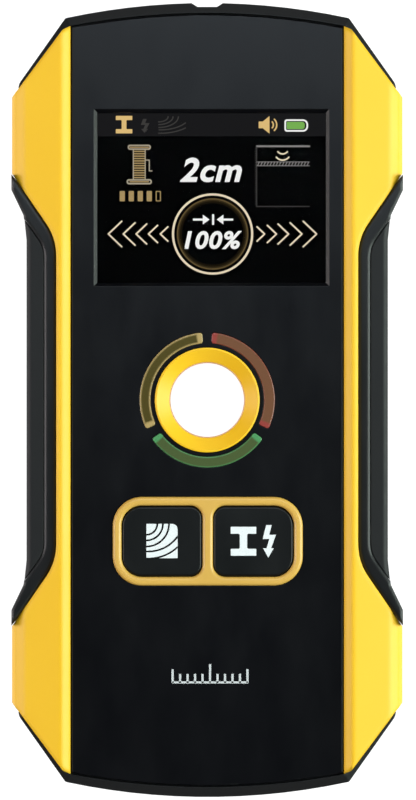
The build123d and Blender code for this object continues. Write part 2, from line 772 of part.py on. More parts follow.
with BuildPart() as display_connector:
    with BuildSketch(Plane.XY.offset(board_top_z)):
        with Locations((window_x, connector_y)):
            Rectangle(flex_width + 2.6, connector_depth)
    extrude(amount=connector_height)
    with BuildSketch(Plane.XY.offset(flex_low_z - flex_thickness)):
        with Locations((window_x, connector_mouth_y)):
            Rectangle(flex_width + 3 * gap, connector_depth / 3)
    extrude(amount=2 * flex_thickness, mode=Mode.SUBTRACT)
write_piece(display_connector.part, "display_connector")

# =============================================================== main board
with BuildPart() as main_board:
    with BuildSketch(Plane.XY.offset(board_z)):
        add(front_outline)
        offset(amount=-wall - board_side_gap)
        Rectangle(2 * end_y, 2 * board_end_y, mode=Mode.INTERSECT)
        Circle(board_hole_radius, mode=Mode.SUBTRACT)
        with GridLocations(2 * case_screw_x, 2 * case_screw_y, 2, 2):
            Circle(case_boss_radius + shank_clearance, mode=Mode.SUBTRACT)
        with Locations(board_post_points):
            Circle(board_screw_radius + shank_clearance, mode=Mode.SUBTRACT)
    extrude(amount=board_thickness)
write_piece(main_board.part, "main_board")


chip_standoff = 0.15
chip_bevel = 0.15
lead_pitch, lead_length, lead_width, lead_thickness = 0.8, 1.4, 0.3, 0.3


def leaded_chip(middle, size, height, leads):
    """A square chip on the main board with leads on all four sides."""
    with BuildPart() as chip:
        with BuildSketch(Plane.XY.offset(board_top_z + chip_standoff)):
            with Locations(middle):
                Rectangle(size, size)
        extrude(amount=height)
        chamfer(chip.edges().group_by(Axis.Z)[-1], length=chip_bevel)
        with BuildSketch(Plane.XY.offset(board_top_z)):
            with Locations(middle):
                with GridLocations(lead_pitch, size + 1.0, leads, 2):
                    Rectangle(lead_width, lead_length)
                with GridLocations(size + 1.0, lead_pitch, 2, leads):
                    Rectangle(lead_length, lead_width)
        extrude(amount=lead_thickness)
    return chip.part


write_piece(leaded_chip(middle=(-11.0, -52.0), size=10.0, height=1.4, leads=11), "controller_chip")
write_piece(leaded_chip(middle=(3.0, -50.0), size=6.0, height=1.1, leads=6), "memory_chip")

buzzer_x, buzzer_y = 13.0, -52.5
buzzer_radius, buzzer_height = 5.0, 4.6
buzzer_hole_radius, buzzer_hole_z = 0.9, board_top_z + 3.2
with BuildPart() as buzzer:
    with BuildSketch(Plane.XY.offset(board_top_z)):
        with Locations((buzzer_x, buzzer_y)):
            Circle(buzzer_radius)
    extrude(amount=buzzer_height)
    fillet(buzzer.edges().group_by(Axis.Z)[-1], 4 * gap)
    with BuildSketch(Plane.XY.offset(buzzer_hole_z)):
        with Locations((buzzer_x, buzzer_y)):
            Circle(buzzer_hole_radius)
    extrude(amount=through, mode=Mode.SUBTRACT)
write_piece(buzzer.part, "buzzer")

led_radius = (guide_inner_radius + guide_outer_radius) / 2
led_share = (0.2, 0.5, 0.8)  # along each light guide
led_width, led_length, led_height = 1.6, 2.0, 1.1
with BuildPart() as status_leds:
    for first_angle, last_angle in guide_angles.values():
        for share in led_share:
            angle = first_angle + share * (last_angle - first_angle)
            place = (led_radius * cos(radians(angle)), led_radius * sin(radians(angle)))
            with BuildSketch(Plane.XY.offset(board_top_z)):
                with Locations(Location(place, angle)):
                    Rectangle(led_width, led_length)
            extrude(amount=led_height)
write_piece(status_leds.part, "status_leds")

# ================================================== sensor board and its coil
sensor_board_width = 54.0
sensor_board_corner = 3.0
sensor_board_bottom_y, sensor_board_top_y = -27.0, 66.0
sensor_middle_y = (sensor_board_bottom_y + sensor_board_top_y) / 2

with BuildPart() as sensor_board:
    with BuildSketch(Plane.XY.offset(sensor_board_z)) as sensor_board_plan:
        with Locations((0, sensor_middle_y)):
            Rectangle(sensor_board_width, sensor_board_top_y - sensor_board_bottom_y)
        chamfer(sensor_board_plan.vertices(), sensor_board_corner)
        Circle(board_hole_radius, mode=Mode.SUBTRACT)
        with Locations(sensor_post_points):
            Circle(sensor_pin_radius + gap, mode=Mode.SUBTRACT)
    extrude(amount=sensor_board_thickness)
write_piece(sensor_board.part, "sensor_board")

plate_thickness = 0.15
plate_y, plate_length, plate_corner = 40.0, 32.0, 1.0
side_plate_width, side_plate_spacing = 18.0, 26.0
middle_plate_width = 4.0
with BuildPart() as sensor_plates:
    with BuildSketch(Plane.XY.offset(sensor_board_z - plate_thickness)):
        with Locations((-side_plate_spacing / 2, plate_y), (side_plate_spacing / 2, plate_y)):
            RectangleRounded(side_plate_width, plate_length, plate_corner)
        with Locations((0, plate_y)):
            RectangleRounded(middle_plate_width, plate_length, plate_corner)
    extrude(amount=plate_thickness)
write_piece(sensor_plates.part, "sensor_plates")

antenna_width, antenna_leg = 1.6, 28.0
antenna_half_span = 18.2
antenna_y = 58.0
with BuildPart() as mains_antenna:
    with BuildSketch(Plane.XY.offset(sensor_top_z)):
        with Locations((0, antenna_y)):
            Rectangle(2 * antenna_half_span + antenna_width, antenna_width)
        with Locations((-antenna_half_span, antenna_y), (antenna_half_span, antenna_y)):
            Rectangle(antenna_width, antenna_leg, align=(Align.CENTER, Align.MAX))
    extrude(amount=plate_thickness)
write_piece(mains_antenna.part, "mains_antenna")

sensor_chip_y = 38.0
sensor_chip_size, sensor_chip_height = 5.0, 1.1
sensor_leads, sensor_lead_pitch, sensor_lead_width = 4, 1.0, 0.4
with BuildPart() as sensor_chip:
    with BuildSketch(Plane.XY.offset(sensor_top_z + chip_standoff)):
        with Locations((0, sensor_chip_y)):
            Rectangle(sensor_chip_size, sensor_chip_size)
    extrude(amount=sensor_chip_height)
    chamfer(sensor_chip.edges().group_by(Axis.Z)[-1], length=chip_bevel)
    with BuildSketch(Plane.XY.offset(sensor_top_z)):
        with Locations((0, sensor_chip_y)):
            with GridLocations(sensor_chip_size + 0.8, sensor_lead_pitch, 2, sensor_leads):
                Rectangle(1.2, sensor_lead_width)
    extrude(amount=lead_thickness)
write_piece(sensor_chip.part, "sensor_chip")

with BuildPart() as coil_bobbin:
    with BuildSketch(Plane.XZ):
        with BuildLine():
            Polyline(
                (coil_hub_radius - coil_hub_wall, coil_z),
                (coil_outer_radius, coil_z),
                (coil_outer_radius, coil_z + coil_flange),
                (coil_hub_radius, coil_z + coil_flange),
                (coil_hub_radius, coil_z + coil_height - coil_flange),
                (coil_outer_radius, coil_z + coil_height - coil_flange),
                (coil_outer_radius, coil_z + coil_height),
                (coil_hub_radius - coil_hub_wall, coil_z + coil_height),
                close=True,
            )
        make_face()
    revolve(axis=Axis.Z)
write_piece(coil_bobbin.part, "coil_bobbin")

with BuildPart() as coil_winding:
    with BuildSketch(Plane.XY.offset(coil_z + coil_flange + gap / 2)):
        Circle(coil_outer_radius - coil_flange)
        Circle(coil_hub_radius + gap / 2, mode=Mode.SUBTRACT)
    extrude(amount=coil_height - 2 * coil_flange - gap)
write_piece(coil_winding.part, "coil_winding")

header_y = 62.0
header_pins, header_pitch, header_pin_width = 6, 2.54, 0.64
header_depth, header_height = 2.5, 8.5
with BuildPart() as board_link_header:
    with BuildSketch(Plane.XY.offset(sensor_top_z)):
        with Locations((0, header_y)):
            Rectangle(header_pins * header_pitch, header_depth)
    extrude(amount=header_height)
    with BuildSketch(Plane.XY.offset(sensor_top_z)):
        with Locations((0, header_y)):
            with GridLocations(header_pitch, 1, header_pins, 1):
                Rectangle(header_pin_width, header_pin_width)
    extrude(amount=board_z - sensor_top_z)
write_piece(board_link_header.part, "board_link_header")

# ================================================================ batteries
cell_nub_radius, cell_nub_height = 1.9, 0.8
cell_edge_radius = 0.4
touch_gap = 0.02             # between pieces that a spring presses together
contact_inner_x = bay_half_width - contact_thickness - gap / 2
contact_bump, contact_bump_radius = 0.3, 1.6
cell_rows = [
    ("battery_cell_1", cell_middle_y + cell_pitch, 1),
    ("battery_cell_2", cell_middle_y, -1),
    ("battery_cell_3", cell_middle_y - cell_pitch, 1),
]

for cell_name, cell_y, nub_side in cell_rows:
    nub_tip_x = nub_side * (contact_inner_x - contact_bump - touch_gap)
    body_end_x = nub_tip_x - nub_side * cell_nub_height
    with BuildPart() as cell:
        with BuildSketch(Plane.YZ.offset(body_end_x)):
            with Locations((cell_y, cell_z)):
                Circle(cell_radius)
        extrude(amount=-nub_side * (cell_length - cell_nub_height))
        fillet(cell.edges(), cell_edge_radius)
        with BuildSketch(Plane.YZ.offset(body_end_x)):
            with Locations((cell_y, cell_z)):
                Circle(cell_nub_radius)
        extrude(amount=nub_side * cell_nub_height)
    write_piece(cell.part, cell_name)

contact_width, contact_height, contact_corner = 8.0, 8.6, 0.8
contact_strip_width = 3.6
with BuildPart() as battery_contacts:
    for _, cell_y, nub_side in cell_rows:
        for end in (1, -1):
            with BuildSketch(Plane.YZ.offset(end * contact_inner_x)):
                with Locations((cell_y, cell_z)):
                    RectangleRounded(contact_width, contact_height, contact_corner)
            extrude(amount=end * contact_thickness)
        with BuildSketch(Plane.YZ.offset(nub_side * contact_inner_x)):
            with Locations((cell_y, cell_z)):
                Circle(contact_bump_radius)
        extrude(amount=-nub_side * contact_bump)
    # strips that carry the pack's two ends up to the main board
    for strip_x, strip_y in ((contact_inner_x, cell_rows[0][1]), (-contact_inner_x, cell_rows[2][1])):
        outward = 1 if strip_x > 0 else -1
        with BuildSketch(Plane.YZ.offset(strip_x)):
            with Locations((strip_y, cell_z)):
                Rectangle(contact_strip_width, board_z - cell_z, align=(Align.CENTER, Align.MIN))
        extrude(amount=outward * contact_thickness)
write_piece(battery_contacts.part, "battery_contacts")

spring_turns = 3
spring_wide_radius = 3.2
spring_cone_angle = -14.0
spring_length = 2 * contact_inner_x - contact_bump - cell_length - 2 * spring_wire_radius - gap
with BuildPart() as battery_springs:
    for _, cell_y, nub_side in cell_rows:
        wall_x = -nub_side * (contact_inner_x - spring_wire_radius - touch_gap)
        with BuildLine() as coil_line:
            Helix(
                pitch=spring_length / spring_turns,
                height=spring_length,
                radius=spring_wide_radius,
                center=(wall_x, cell_y, cell_z),
                direction=(nub_side, 0, 0),
                cone_angle=spring_cone_angle,
            )
        with BuildSketch(Plane(origin=coil_line.line @ 0, z_dir=coil_line.line % 0)):
            Circle(spring_wire_radius)
        sweep(path=coil_line.line, is_frenet=True)
write_piece(battery_springs.part, "battery_springs")

# ============================================================= battery door
door_lip_back_y = -75.0      # inner face of the door's end lip
tongue_z = back_z + 1.0
tongue_length = 36.0
grip_bar_length, grip_bar_width, grip_bar_pitch, grip_bar_depth = 16.0, 1.2, 2.4, 0.5
grip_bar_y = bay_top_y - 8.0

with BuildPart() as battery_door:
    # the end lip is a slice of the shell's own end wall
    with BuildSketch(Plane.XY.offset(back_z)):
        add(rear_outline)
    extrude(amount=door_lip_z - back_z)
    chamfer(battery_door.faces().sort_by(Axis.Z)[0].outer_wire().edges(), length=back_chamfer)
    with BuildSketch(Plane.XY.offset(back_z)):
        with Locations((0, bay_top_y - door_side_gap)):
            Rectangle(2 * door_half_width, door_reach, align=(Align.CENTER, Align.MAX))
    extrude(amount=door_lip_z, mode=Mode.INTERSECT)
    with BuildSketch(Plane.XY.offset(back_z + door_thickness)):
        with Locations((0, door_lip_back_y)):
            Rectangle(door_reach, door_reach, align=(Align.CENTER, Align.MIN))
    extrude(amount=door_lip_z, mode=Mode.SUBTRACT)
    # tongues that run in the shell's grooves
    with BuildSketch(Plane.XY.offset(tongue_z)):
        with Locations((0, bay_top_y - door_tongue)):
            Rectangle(2 * (door_half_width + door_tongue), tongue_length, align=(Align.CENTER, Align.MAX))
    extrude(amount=back_z + door_thickness - tongue_z)
    # finger grip: shallow bars across the middle
    with BuildSketch(Plane.XY.offset(back_z)):
        with Locations((0, grip_bar_y)):
            with GridLocations(1, grip_bar_pitch, 1, 4):
                SlotOverall(grip_bar_length, grip_bar_width)
    extrude(amount=grip_bar_depth, mode=Mode.SUBTRACT)
write_piece(battery_door.part, "battery_door")

# ================================================================ fasteners
case_head_height, case_cross_length, case_cross_width, case_cross_depth = 1.9, 2.8, 0.6, 1.1
board_head_height, board_cross_length, board_cross_width, board_cross_depth = 1.0, 2.0, 0.4, 0.6
board_screw_head_radius = 1.7

with BuildPart() as case_screws:
    with BuildSketch(Plane.XY.offset(case_screw_head_z - case_head_height)):
        with GridLocations(2 * case_screw_x, 2 * case_screw_y, 2, 2):
            Circle(case_screw_head_radius)
    extrude(amount=case_head_height)
    fillet(case_screws.edges().group_by(Axis.Z)[0], 0.5)
    with BuildSketch(Plane.XY.offset(case_screw_head_z)):
        with GridLocations(2 * case_screw_x, 2 * case_screw_y, 2, 2):
            Circle(case_screw_radius)
    extrude(amount=case_screw_top_z - case_screw_head_z)
    with BuildSketch(Plane.XY.offset(case_screw_head_z - case_head_height)):
        with GridLocations(2 * case_screw_x, 2 * case_screw_y, 2, 2):
            Rectangle(case_cross_length, case_cross_width)
            Rectangle(case_cross_width, case_cross_length)
    extrude(amount=case_cross_depth, mode=Mode.SUBTRACT)
write_piece(case_screws.part, "case_screws")

with BuildPart() as board_screws:
    with BuildSketch(Plane.XY.offset(board_z - board_head_height)):
        with Locations(board_post_points):
            Circle(board_screw_head_radius)
    extrude(amount=board_head_height)
    with BuildSketch(Plane.XY.offset(board_z)):
        with Locations(board_post_points):
            Circle(board_screw_radius)
    extrude(amount=board_thickness + board_screw_reach)
    with BuildSketch(Plane.XY.offset(board_z - board_head_height)):
        with Locations(board_post_points):
            Rectangle(board_cross_length, board_cross_width)
            Rectangle(board_cross_width, board_cross_length)
    extrude(amount=board_cross_depth, mode=Mode.SUBTRACT)
write_piece(board_screws.part, "board_screws")

with BuildPart() as felt_pads:
    with BuildSketch(Plane.XY):
        with GridLocations(2 * pad_x, 2 * pad_y, 2, 2):
            SlotOverall(pad_length, pad_width, rotation=90)
    extrude(amount=pad_thickness)
    fillet(felt_pads.edges().group_by(Axis.Z)[0], pad_edge_radius)
write_piece(felt_pads.part, "felt_pads")
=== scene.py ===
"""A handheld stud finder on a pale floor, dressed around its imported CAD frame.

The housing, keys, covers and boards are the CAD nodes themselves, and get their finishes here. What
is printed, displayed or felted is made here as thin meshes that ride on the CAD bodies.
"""

import logging
import math
from dataclasses import dataclass, field, replace
from enum import Enum

import bmesh
import bpy
import numpy as np
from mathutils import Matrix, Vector


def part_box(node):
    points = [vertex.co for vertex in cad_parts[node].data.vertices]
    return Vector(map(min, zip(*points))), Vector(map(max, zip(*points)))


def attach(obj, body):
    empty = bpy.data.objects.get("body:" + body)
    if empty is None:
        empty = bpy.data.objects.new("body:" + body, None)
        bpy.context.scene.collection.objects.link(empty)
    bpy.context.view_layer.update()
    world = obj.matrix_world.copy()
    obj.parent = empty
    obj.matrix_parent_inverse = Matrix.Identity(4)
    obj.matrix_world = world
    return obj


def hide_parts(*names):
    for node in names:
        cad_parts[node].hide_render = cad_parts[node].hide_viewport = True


logging.basicConfig(level=logging.INFO, format="%(name)s: %(message)s")
log = logging.getLogger("stud_finder")

MM = 0.001
Colour = tuple[float, float, float]
Outline = np.ndarray  # points (n, 2), millimetres, anticlockwise


# ------------------------------------------------------------------ colours
class Shade(Enum):
    """Linear colours of the object's surfaces."""

    SHELL_BLACK = (0.0034, 0.0037, 0.0042)
    RAIL_BLACK = (0.0036, 0.0039, 0.0044)
    PANEL_BLACK = (0.0008, 0.0009, 0.0018)
    KEY_BLACK = (0.0010, 0.0016, 0.0018)
    COVER_YELLOW = (0.85, 0.485, 0.014)
    COVER_YELLOW_DEEP = (0.83, 0.462, 0.012)
    TRIM_GOLD = (0.66, 0.385, 0.075)
    RUBBER = (0.0034, 0.0037, 0.0044)
    FELT = (0.055, 0.054, 0.052)
    FELT_LIGHT = (0.12, 0.118, 0.112)
    # The light guides' outline colours below are painted light, where light leaks out of them; their core colours are
    # their own tint.
    AMBER_CORE = (0.066, 0.049, 0.008)
    AMBER_EDGE_LIGHT = (0.40, 0.28, 0.110)
    RED_CORE = (0.150, 0.062, 0.030)
    RED_EDGE_LIGHT = (0.270, 0.044, 0.036)
    GREEN_CORE = (0.060, 0.088, 0.028)
    GREEN_EDGE_LIGHT = (0.070, 0.260, 0.095)
    INK_WHITE = (0.74, 0.76, 0.78)
    SCREEN_BLACK = (0.0005, 0.0005, 0.0006)
    SCREEN_BAR = (0.011, 0.011, 0.012)
    SCREEN_CREAM = (0.82, 0.70, 0.50)
    SCREEN_GOLD = (0.76, 0.52, 0.20)
    SCREEN_DIM = (0.048, 0.046, 0.044)
    SCREEN_TAN = (0.40, 0.28, 0.12)
    SCREEN_BONE = (0.42, 0.37, 0.27)
    SCREEN_GREY = (0.26, 0.25, 0.24)
    SCREEN_GREEN = (0.19, 0.45, 0.09)
    SCREEN_WHITE = (0.92, 0.92, 0.90)


# ------------------------------------------------------------ shader helpers
class Graph:
    """A material's node tree, with short calls that add and join nodes."""

    def __init__(self, name: str) -> None:
        """Starts an empty material with its output and one Principled shader.

        Args:
            name: the material's name.
        """
        self.material = bpy.data.materials.new(name)
        self.material.use_nodes = True
        self.tree = self.material.node_tree
        self.tree.nodes.clear()
        self.output = self.tree.nodes.new("ShaderNodeOutputMaterial")
        self.shader = self.tree.nodes.new("ShaderNodeBsdfPrincipled")
        self.join(self.shader, "BSDF", self.output, "Surface")
        self.coordinates = self.tree.nodes.new("ShaderNodeTexCoord")

    def join(self, source: bpy.types.Node, out: str, target: bpy.types.Node, into: str | int) -> None:
        """Links one node's output socket to another's input socket."""
        self.tree.links.new(source.outputs[out], target.inputs[into])

    def set(self, **values: object) -> None:
        """Sets the Principled shader's own sockets, named with _ for a space."""
        for name, value in values.items():
            self.shader.inputs[name.replace("_", " ")].default_value = value

    def mapping(self, scale: Colour, turn: Colour = (0, 0, 0)) -> bpy.types.Node:
        """Object coordinates, scaled and turned.

        Args:
            scale: the pattern's scale along each axis, per metre.
            turn: the pattern's rotation in radians.

        Returns:
            The Mapping node.
        """
        node = self.tree.nodes.new("ShaderNodeMapping")
        node.inputs["Scale"].default_value = scale
        node.inputs["Rotation"].default_value = turn
        self.join(self.coordinates, "Object", node, "Vector")
        return node

    def noise(self, cell_mm: float, detail: float = 3.0, stretch: Colour = (1, 1, 1)) -> bpy.types.Node:
        """Noise whose cells are about cell_mm across.

        Args:
            cell_mm: the size of a cell in millimetres.
            detail: how many finer layers it has.
            stretch: how many times shorter the cells are along each axis.

        Returns:
            The Noise Texture node.
        """
        node = self.tree.nodes.new("ShaderNodeTexNoise")
        node.inputs["Scale"].default_value = 1.0
        node.inputs["Detail"].default_value = detail
        per_metre = 1.0 / (cell_mm * MM)
        self.join(self.mapping(tuple(per_metre * s for s in stretch)), "Vector", node, "Vector")
        return node

    def spots(self, cell_mm: float) -> bpy.types.Node:
        """Rounded cells about cell_mm across, as the spark-eroded texture of a mould."""
        node = self.tree.nodes.new("ShaderNodeTexVoronoi")
        node.feature = "SMOOTH_F1"
        node.inputs["Scale"].default_value = 1.0
        node.inputs["Smoothness"].default_value = 0.8
        per_metre = 1.0 / (cell_mm * MM)
        self.join(self.mapping((per_metre, per_metre, per_metre)), "Vector", node, "Vector")
        return node

    def ramp(self, source: bpy.types.Node, out: str, stops: list[tuple[float, Colour]]) -> bpy.types.Node:
        """Turns a value into a colour.

        Args:
            source: the node that gives the value.
            out: its output socket.
            stops: positions from 0 to 1 with their colours.

        Returns:
            The Color Ramp node.
        """
        node = self.tree.nodes.new("ShaderNodeValToRGB")
        bar = node.color_ramp
        while len(bar.elements) < len(stops):
            bar.elements.new(0.5)
        for element, (position, colour) in zip(bar.elements, stops):
            element.position = position
            element.color = (*colour, 1.0)
        self.join(source, out, node, "Fac")
        return node

    def spread(self, source: bpy.types.Node, out: str, low: float, high: float) -> bpy.types.Node:
        """Maps a value from 0..1 to low..high."""
        node = self.tree.nodes.new("ShaderNodeMapRange")
        node.inputs["To Min"].default_value = low
        node.inputs["To Max"].default_value = high
        self.join(source, out, node, "Value")
        return node

    def maths(self, operation: str, *inputs: bpy.types.Node | float) -> bpy.types.Node:
        """A Math node whose inputs are nodes or plain numbers."""
        node = self.tree.nodes.new("ShaderNodeMath")
        node.operation = operation
        for index, value in enumerate(inputs):
            if isinstance(value, bpy.types.Node):
                self.tree.links.new(value.outputs[0], node.inputs[index])
            else:
                node.inputs[index].default_value = value
        return node

    def soften_edges(self, radius_mm: float) -> None:
        """Rounds sharp edges by a radius, as seen in the light on them."""
        node = self.tree.nodes.new("ShaderNodeBevel")
        node.samples = 6
        node.inputs["Radius"].default_value = radius_mm * MM
        self.join(node, "Normal", self.shader, "Normal")

    def bump(self, height: bpy.types.Node, out: str, depth_mm: float) -> bpy.types.Node:
        """A Bump node on the shader's normal, with its depth in millimetres."""
        node = self.tree.nodes.new("ShaderNodeBump")
        node.inputs["Distance"].default_value = depth_mm * MM
        self.join(height, out, node, "Height")
        previous = self.shader.inputs["Normal"]
        if previous.is_linked:
            self.tree.links.new(previous.links[0].from_socket, node.inputs["Normal"])
        self.join(node, "Normal", self.shader, "Normal")
        return node


def tinted(colour: Colour, factor: float) -> Colour:
    """A colour made lighter or darker by a factor."""
    return tuple(min(1.0, channel * factor) for channel in colour)


# ------------------------------------------------------------------ finishes
@dataclass(frozen=True)
class MouldedPlastic:
    """Injection-moulded plastic: a fine eroded texture, faint flow marks, patchy colour drift and softened edges.

    Attributes:
        name: the material's name.
        colour: its colour.
        other: the colour it drifts to in patches.
        roughness: its mean roughness.
        grain_mm: the size of the texture's cells, 0 for a polished mould.
        grain_depth_mm: how deep the texture is.
        specular: the shader's specular level.
        edge_mm: the radius of its sharp edges.
    """

    name: str
    colour: Colour
    other: Colour
    roughness: float = 0.45
    grain_mm: float = 0.35
    grain_depth_mm: float = 0.01
    specular: float = 0.5
    edge_mm: float = 0.15

    def build(self) -> bpy.types.Material:
        """Makes the material."""
        g = Graph(self.name)
        drift = g.noise(19.0, 4.0)
        colour = g.ramp(drift, "Fac", [(0.3, self.colour), (0.75, self.other)])
        g.join(colour, "Color", g.shader, "Base Color")
        smears = g.noise(6.0, 6.0, (1.0, 0.45, 1.0))
        rough = g.spread(smears, "Fac", self.roughness - 0.07, self.roughness + 0.07)
        g.join(rough, "Result", g.shader, "Roughness")
        g.set(Specular_IOR_Level=self.specular)
        g.soften_edges(self.edge_mm)
        if self.grain_mm:
            g.bump(g.spots(self.grain_mm), "Distance", self.grain_depth_mm)
        g.bump(g.noise(24.0, 1.0), "Fac", 0.012)
        return g.material


@dataclass(frozen=True)
class SoftRubber:
    """Moulded rubber: matt, with a fine skin texture and a dusty bloom."""

    name: str
    colour: Colour
    roughness: float = 0.55

    def build(self) -> bpy.types.Material:
        """Makes the material."""
        g = Graph(self.name)
        bloom = g.noise(3.5, 6.0)
        colour = g.ramp(bloom, "Fac", [(0.35, self.colour), (0.72, tinted(self.colour, 1.35))])
        g.join(colour, "Color", g.shader, "Base Color")
        rough = g.spread(bloom, "Fac", self.roughness - 0.08, self.roughness + 0.1)
        g.join(rough, "Result", g.shader, "Roughness")
        g.set(Specular_IOR_Level=0.31, Sheen_Weight=0.01, Sheen_Roughness=0.5)
        g.soften_edges(0.3)
        g.bump(g.spots(0.22), "Distance", 0.010)
        return g.material


@dataclass(frozen=True)
class TintedGuide:
    """Unlit tinted light guide: a dark core, with painted light along its outline where light leaks out of the real
    guide.

    Attributes:
        name: the material's name.
        core: its colour in the middle of the band.
        edge_light: the painted light along the band's outline, a brighter colour than the core.
        inner_mm: the band's inner radius.
        outer_mm: the band's outer radius.
        middle_turn: the angle of the band's middle, in radians.
        half_turn: half the angle that the band covers, in radians.
        side_glow: how strong the painted light of the outline is along the two long sides, from 0.5 to 1.
    """

    name: str
    core: Colour
    edge_light: Colour
    inner_mm: float
    outer_mm: float
    middle_turn: float
    half_turn: float
    side_glow: float = 1.0

    def build(self) -> bpy.types.Material:
        """Makes the material; nearness to the outline is worked out from radius and angle, and brings in the painted
        light.
        """
        g = Graph(self.name)
        turned = g.mapping((1.0, 1.0, 0.0), (0.0, 0.0, -self.middle_turn))
        radius = g.tree.nodes.new("ShaderNodeVectorMath")
        radius.operation = "LENGTH"
        g.join(turned, "Vector", radius, 0)
        middle = (self.inner_mm + self.outer_mm) / 2 * MM
        across = g.tree.nodes.new("ShaderNodeMath")
        across.operation = "SUBTRACT"
        g.join(radius, "Value", across, 0)
        across.inputs[1].default_value = middle
        half_width = (self.outer_mm - self.inner_mm) / 2 * MM
        from_side = g.maths("DIVIDE", g.maths("ABSOLUTE", across), half_width)
        parts = g.tree.nodes.new("ShaderNodeSeparateXYZ")
        g.join(turned, "Vector", parts, "Vector")
        angle = g.tree.nodes.new("ShaderNodeMath")
        angle.operation = "ARCTAN2"
        g.join(parts, "Y", angle, 0)
        g.join(parts, "X", angle, 1)
        along = g.maths("MULTIPLY", g.maths("ABSOLUTE", angle), middle)
        end = self.half_turn * middle
        reach = 1.8 * half_width
        from_end = g.maths("DIVIDE", g.maths("SUBTRACT", along, end - reach), 0.65 * reach)
        # Painted light: the colour brightens towards the outline and the ends, as where light leaks out.
        edge_light = g.maths("MAXIMUM", g.maths("MULTIPLY", from_side, self.side_glow), from_end)
        colour = g.ramp(edge_light, "Value", [(0.0, self.core), (0.52, self.core), (0.86, self.edge_light), (1.0, self.edge_light)])
        g.join(colour, "Color", g.shader, "Base Color")
        g.set(Roughness=0.28, Specular_IOR_Level=0.35, Coat_Weight=0.15, Coat_Roughness=0.08)
        g.bump(g.noise(0.5, 2.0), "Fac", 0.006)
        return g.material


@dataclass(frozen=True)
class ClearLens:
    """Clear acrylic with a hard coat that hardly mirrors."""

    name: str

    def build(self) -> bpy.types.Material:
        """Makes the material."""
        g = Graph(self.name)
        g.set(Base_Color=(0.98, 0.985, 0.99, 1.0), Transmission_Weight=1.0, IOR=1.06, Specular_IOR_Level=0.2)
        marks = g.noise(9.0, 8.0)
        g.join(g.spread(marks, "Fac", 0.0, 0.03), "Result", g.shader, "Roughness")
        return g.material


@dataclass(frozen=True)
class WorkedMetal:
    """Rolled, plated or turned metal with fine lines along one axis.

    Attributes:
        name: the material's name.
        colour: its colour.
        roughness: its mean roughness.
        stretch: how many times shorter the lines' cells are along each axis.
    """

    name: str
    colour: Colour
    roughness: float = 0.32
    stretch: Colour = (6.0, 0.3, 6.0)

    def build(self) -> bpy.types.Material:
        """Makes the material."""
        g = Graph(self.name)
        lines = g.noise(0.6, 4.0, self.stretch)
        colour = g.ramp(lines, "Fac", [(0.3, tinted(self.colour, 0.78)), (0.7, self.colour)])
        g.join(colour, "Color", g.shader, "Base Color")
        g.join(g.spread(lines, "Fac", self.roughness - 0.1, self.roughness + 0.12), "Result", g.shader, "Roughness")
        g.set(Metallic=1.0)
        g.bump(lines, "Fac", 0.004)
        return g.material


@dataclass(frozen=True)
class SolderMask:
    """Circuit board: lacquer over etched tracks, with the tracks a little lighter and raised."""

    name: str
    lacquer: Colour
    track: Colour

    def build(self) -> bpy.types.Material:
        """Makes the material; the tracks are the cracks between square cells."""
        g = Graph(self.name)
        cells = g.tree.nodes.new("ShaderNodeTexVoronoi")
        cells.distance = "CHEBYCHEV"
        cells.inputs["Scale"].default_value = 1.0
        cells.inputs["Randomness"].default_value = 0.85
        g.join(g.mapping((260.0, 260.0, 260.0)), "Vector", cells, "Vector")
        colour = g.ramp(cells, "Distance", [(0.0, self.track), (0.12, self.lacquer), (0.42, self.lacquer), (0.5, self.track)])
        g.join(colour, "Color", g.shader, "Base Color")
        g.set(Roughness=0.3, Coat_Weight=0.4, Coat_Roughness=0.15)
        g.bump(cells, "Distance", 0.02)
        return g.material


@dataclass(frozen=True)
class WoundWire:
    """Enamelled wire wound in layers round the marking hole's axis."""

    name: str
    colour: Colour
    wire_mm: float = 0.3

    def build(self) -> bpy.types.Material:
        """Makes the material; the turns are rings of even pitch, with painted shade in the grooves between them."""
        g = Graph(self.name)
        rings = g.tree.nodes.new("ShaderNodeTexWave")
        rings.wave_type = "RINGS"
        rings.rings_direction = "Z"
        rings.inputs["Scale"].default_value = math.pi / (10 * self.wire_mm * MM)
        rings.inputs["Distortion"].default_value = 0.6
        g.join(g.coordinates, "Object", rings, "Vector")
        # Painted shade: each turn darkens to about a third of its colour in the groove between turns.
        colour = g.ramp(rings, "Fac", [(0.0, tinted(self.colour, 0.35)), (0.6, self.colour)])
        g.join(colour, "Color", g.shader, "Base Color")
        g.set(Metallic=0.85, Roughness=0.3, Coat_Weight=0.6, Coat_Roughness=0.1)
        g.bump(rings, "Fac", 0.08)
        return g.material


@dataclass(frozen=True)
class CellWrap:
    """A battery cell's plain shrink wrap: dark, with one coloured band at the nub end."""

    name: str
    body: Colour
    band: Colour
    nub_side: float

    def build(self) -> bpy.types.Material:
        """Makes the material; the band starts where X passes a set distance."""
        g = Graph(self.name)
        parts = g.tree.nodes.new("ShaderNodeSeparateXYZ")
        g.join(g.mapping((self.nub_side / (50 * MM), 1.0, 1.0)), "Vector", parts, "Vector")
        placed = g.tree.nodes.new("ShaderNodeMath")
        placed.inputs[1].default_value = 0.5
        g.join(parts, "X", placed, 0)
        silver = (0.62, 0.62, 0.6)
        stops = [(0.0, self.body), (0.69, self.body), (0.70, self.band), (0.962, self.band), (0.968, silver)]
        colour = g.ramp(placed, "Value", stops)
        colour.color_ramp.interpolation = "CONSTANT"
        g.join(colour, "Color", g.shader, "Base Color")
        g.set(Roughness=0.24, Coat_Weight=0.5, Coat_Roughness=0.06)
        g.bump(g.noise(3.0, 2.0, (0.2, 1.0, 1.0)), "Fac", 0.03)
        return g.material


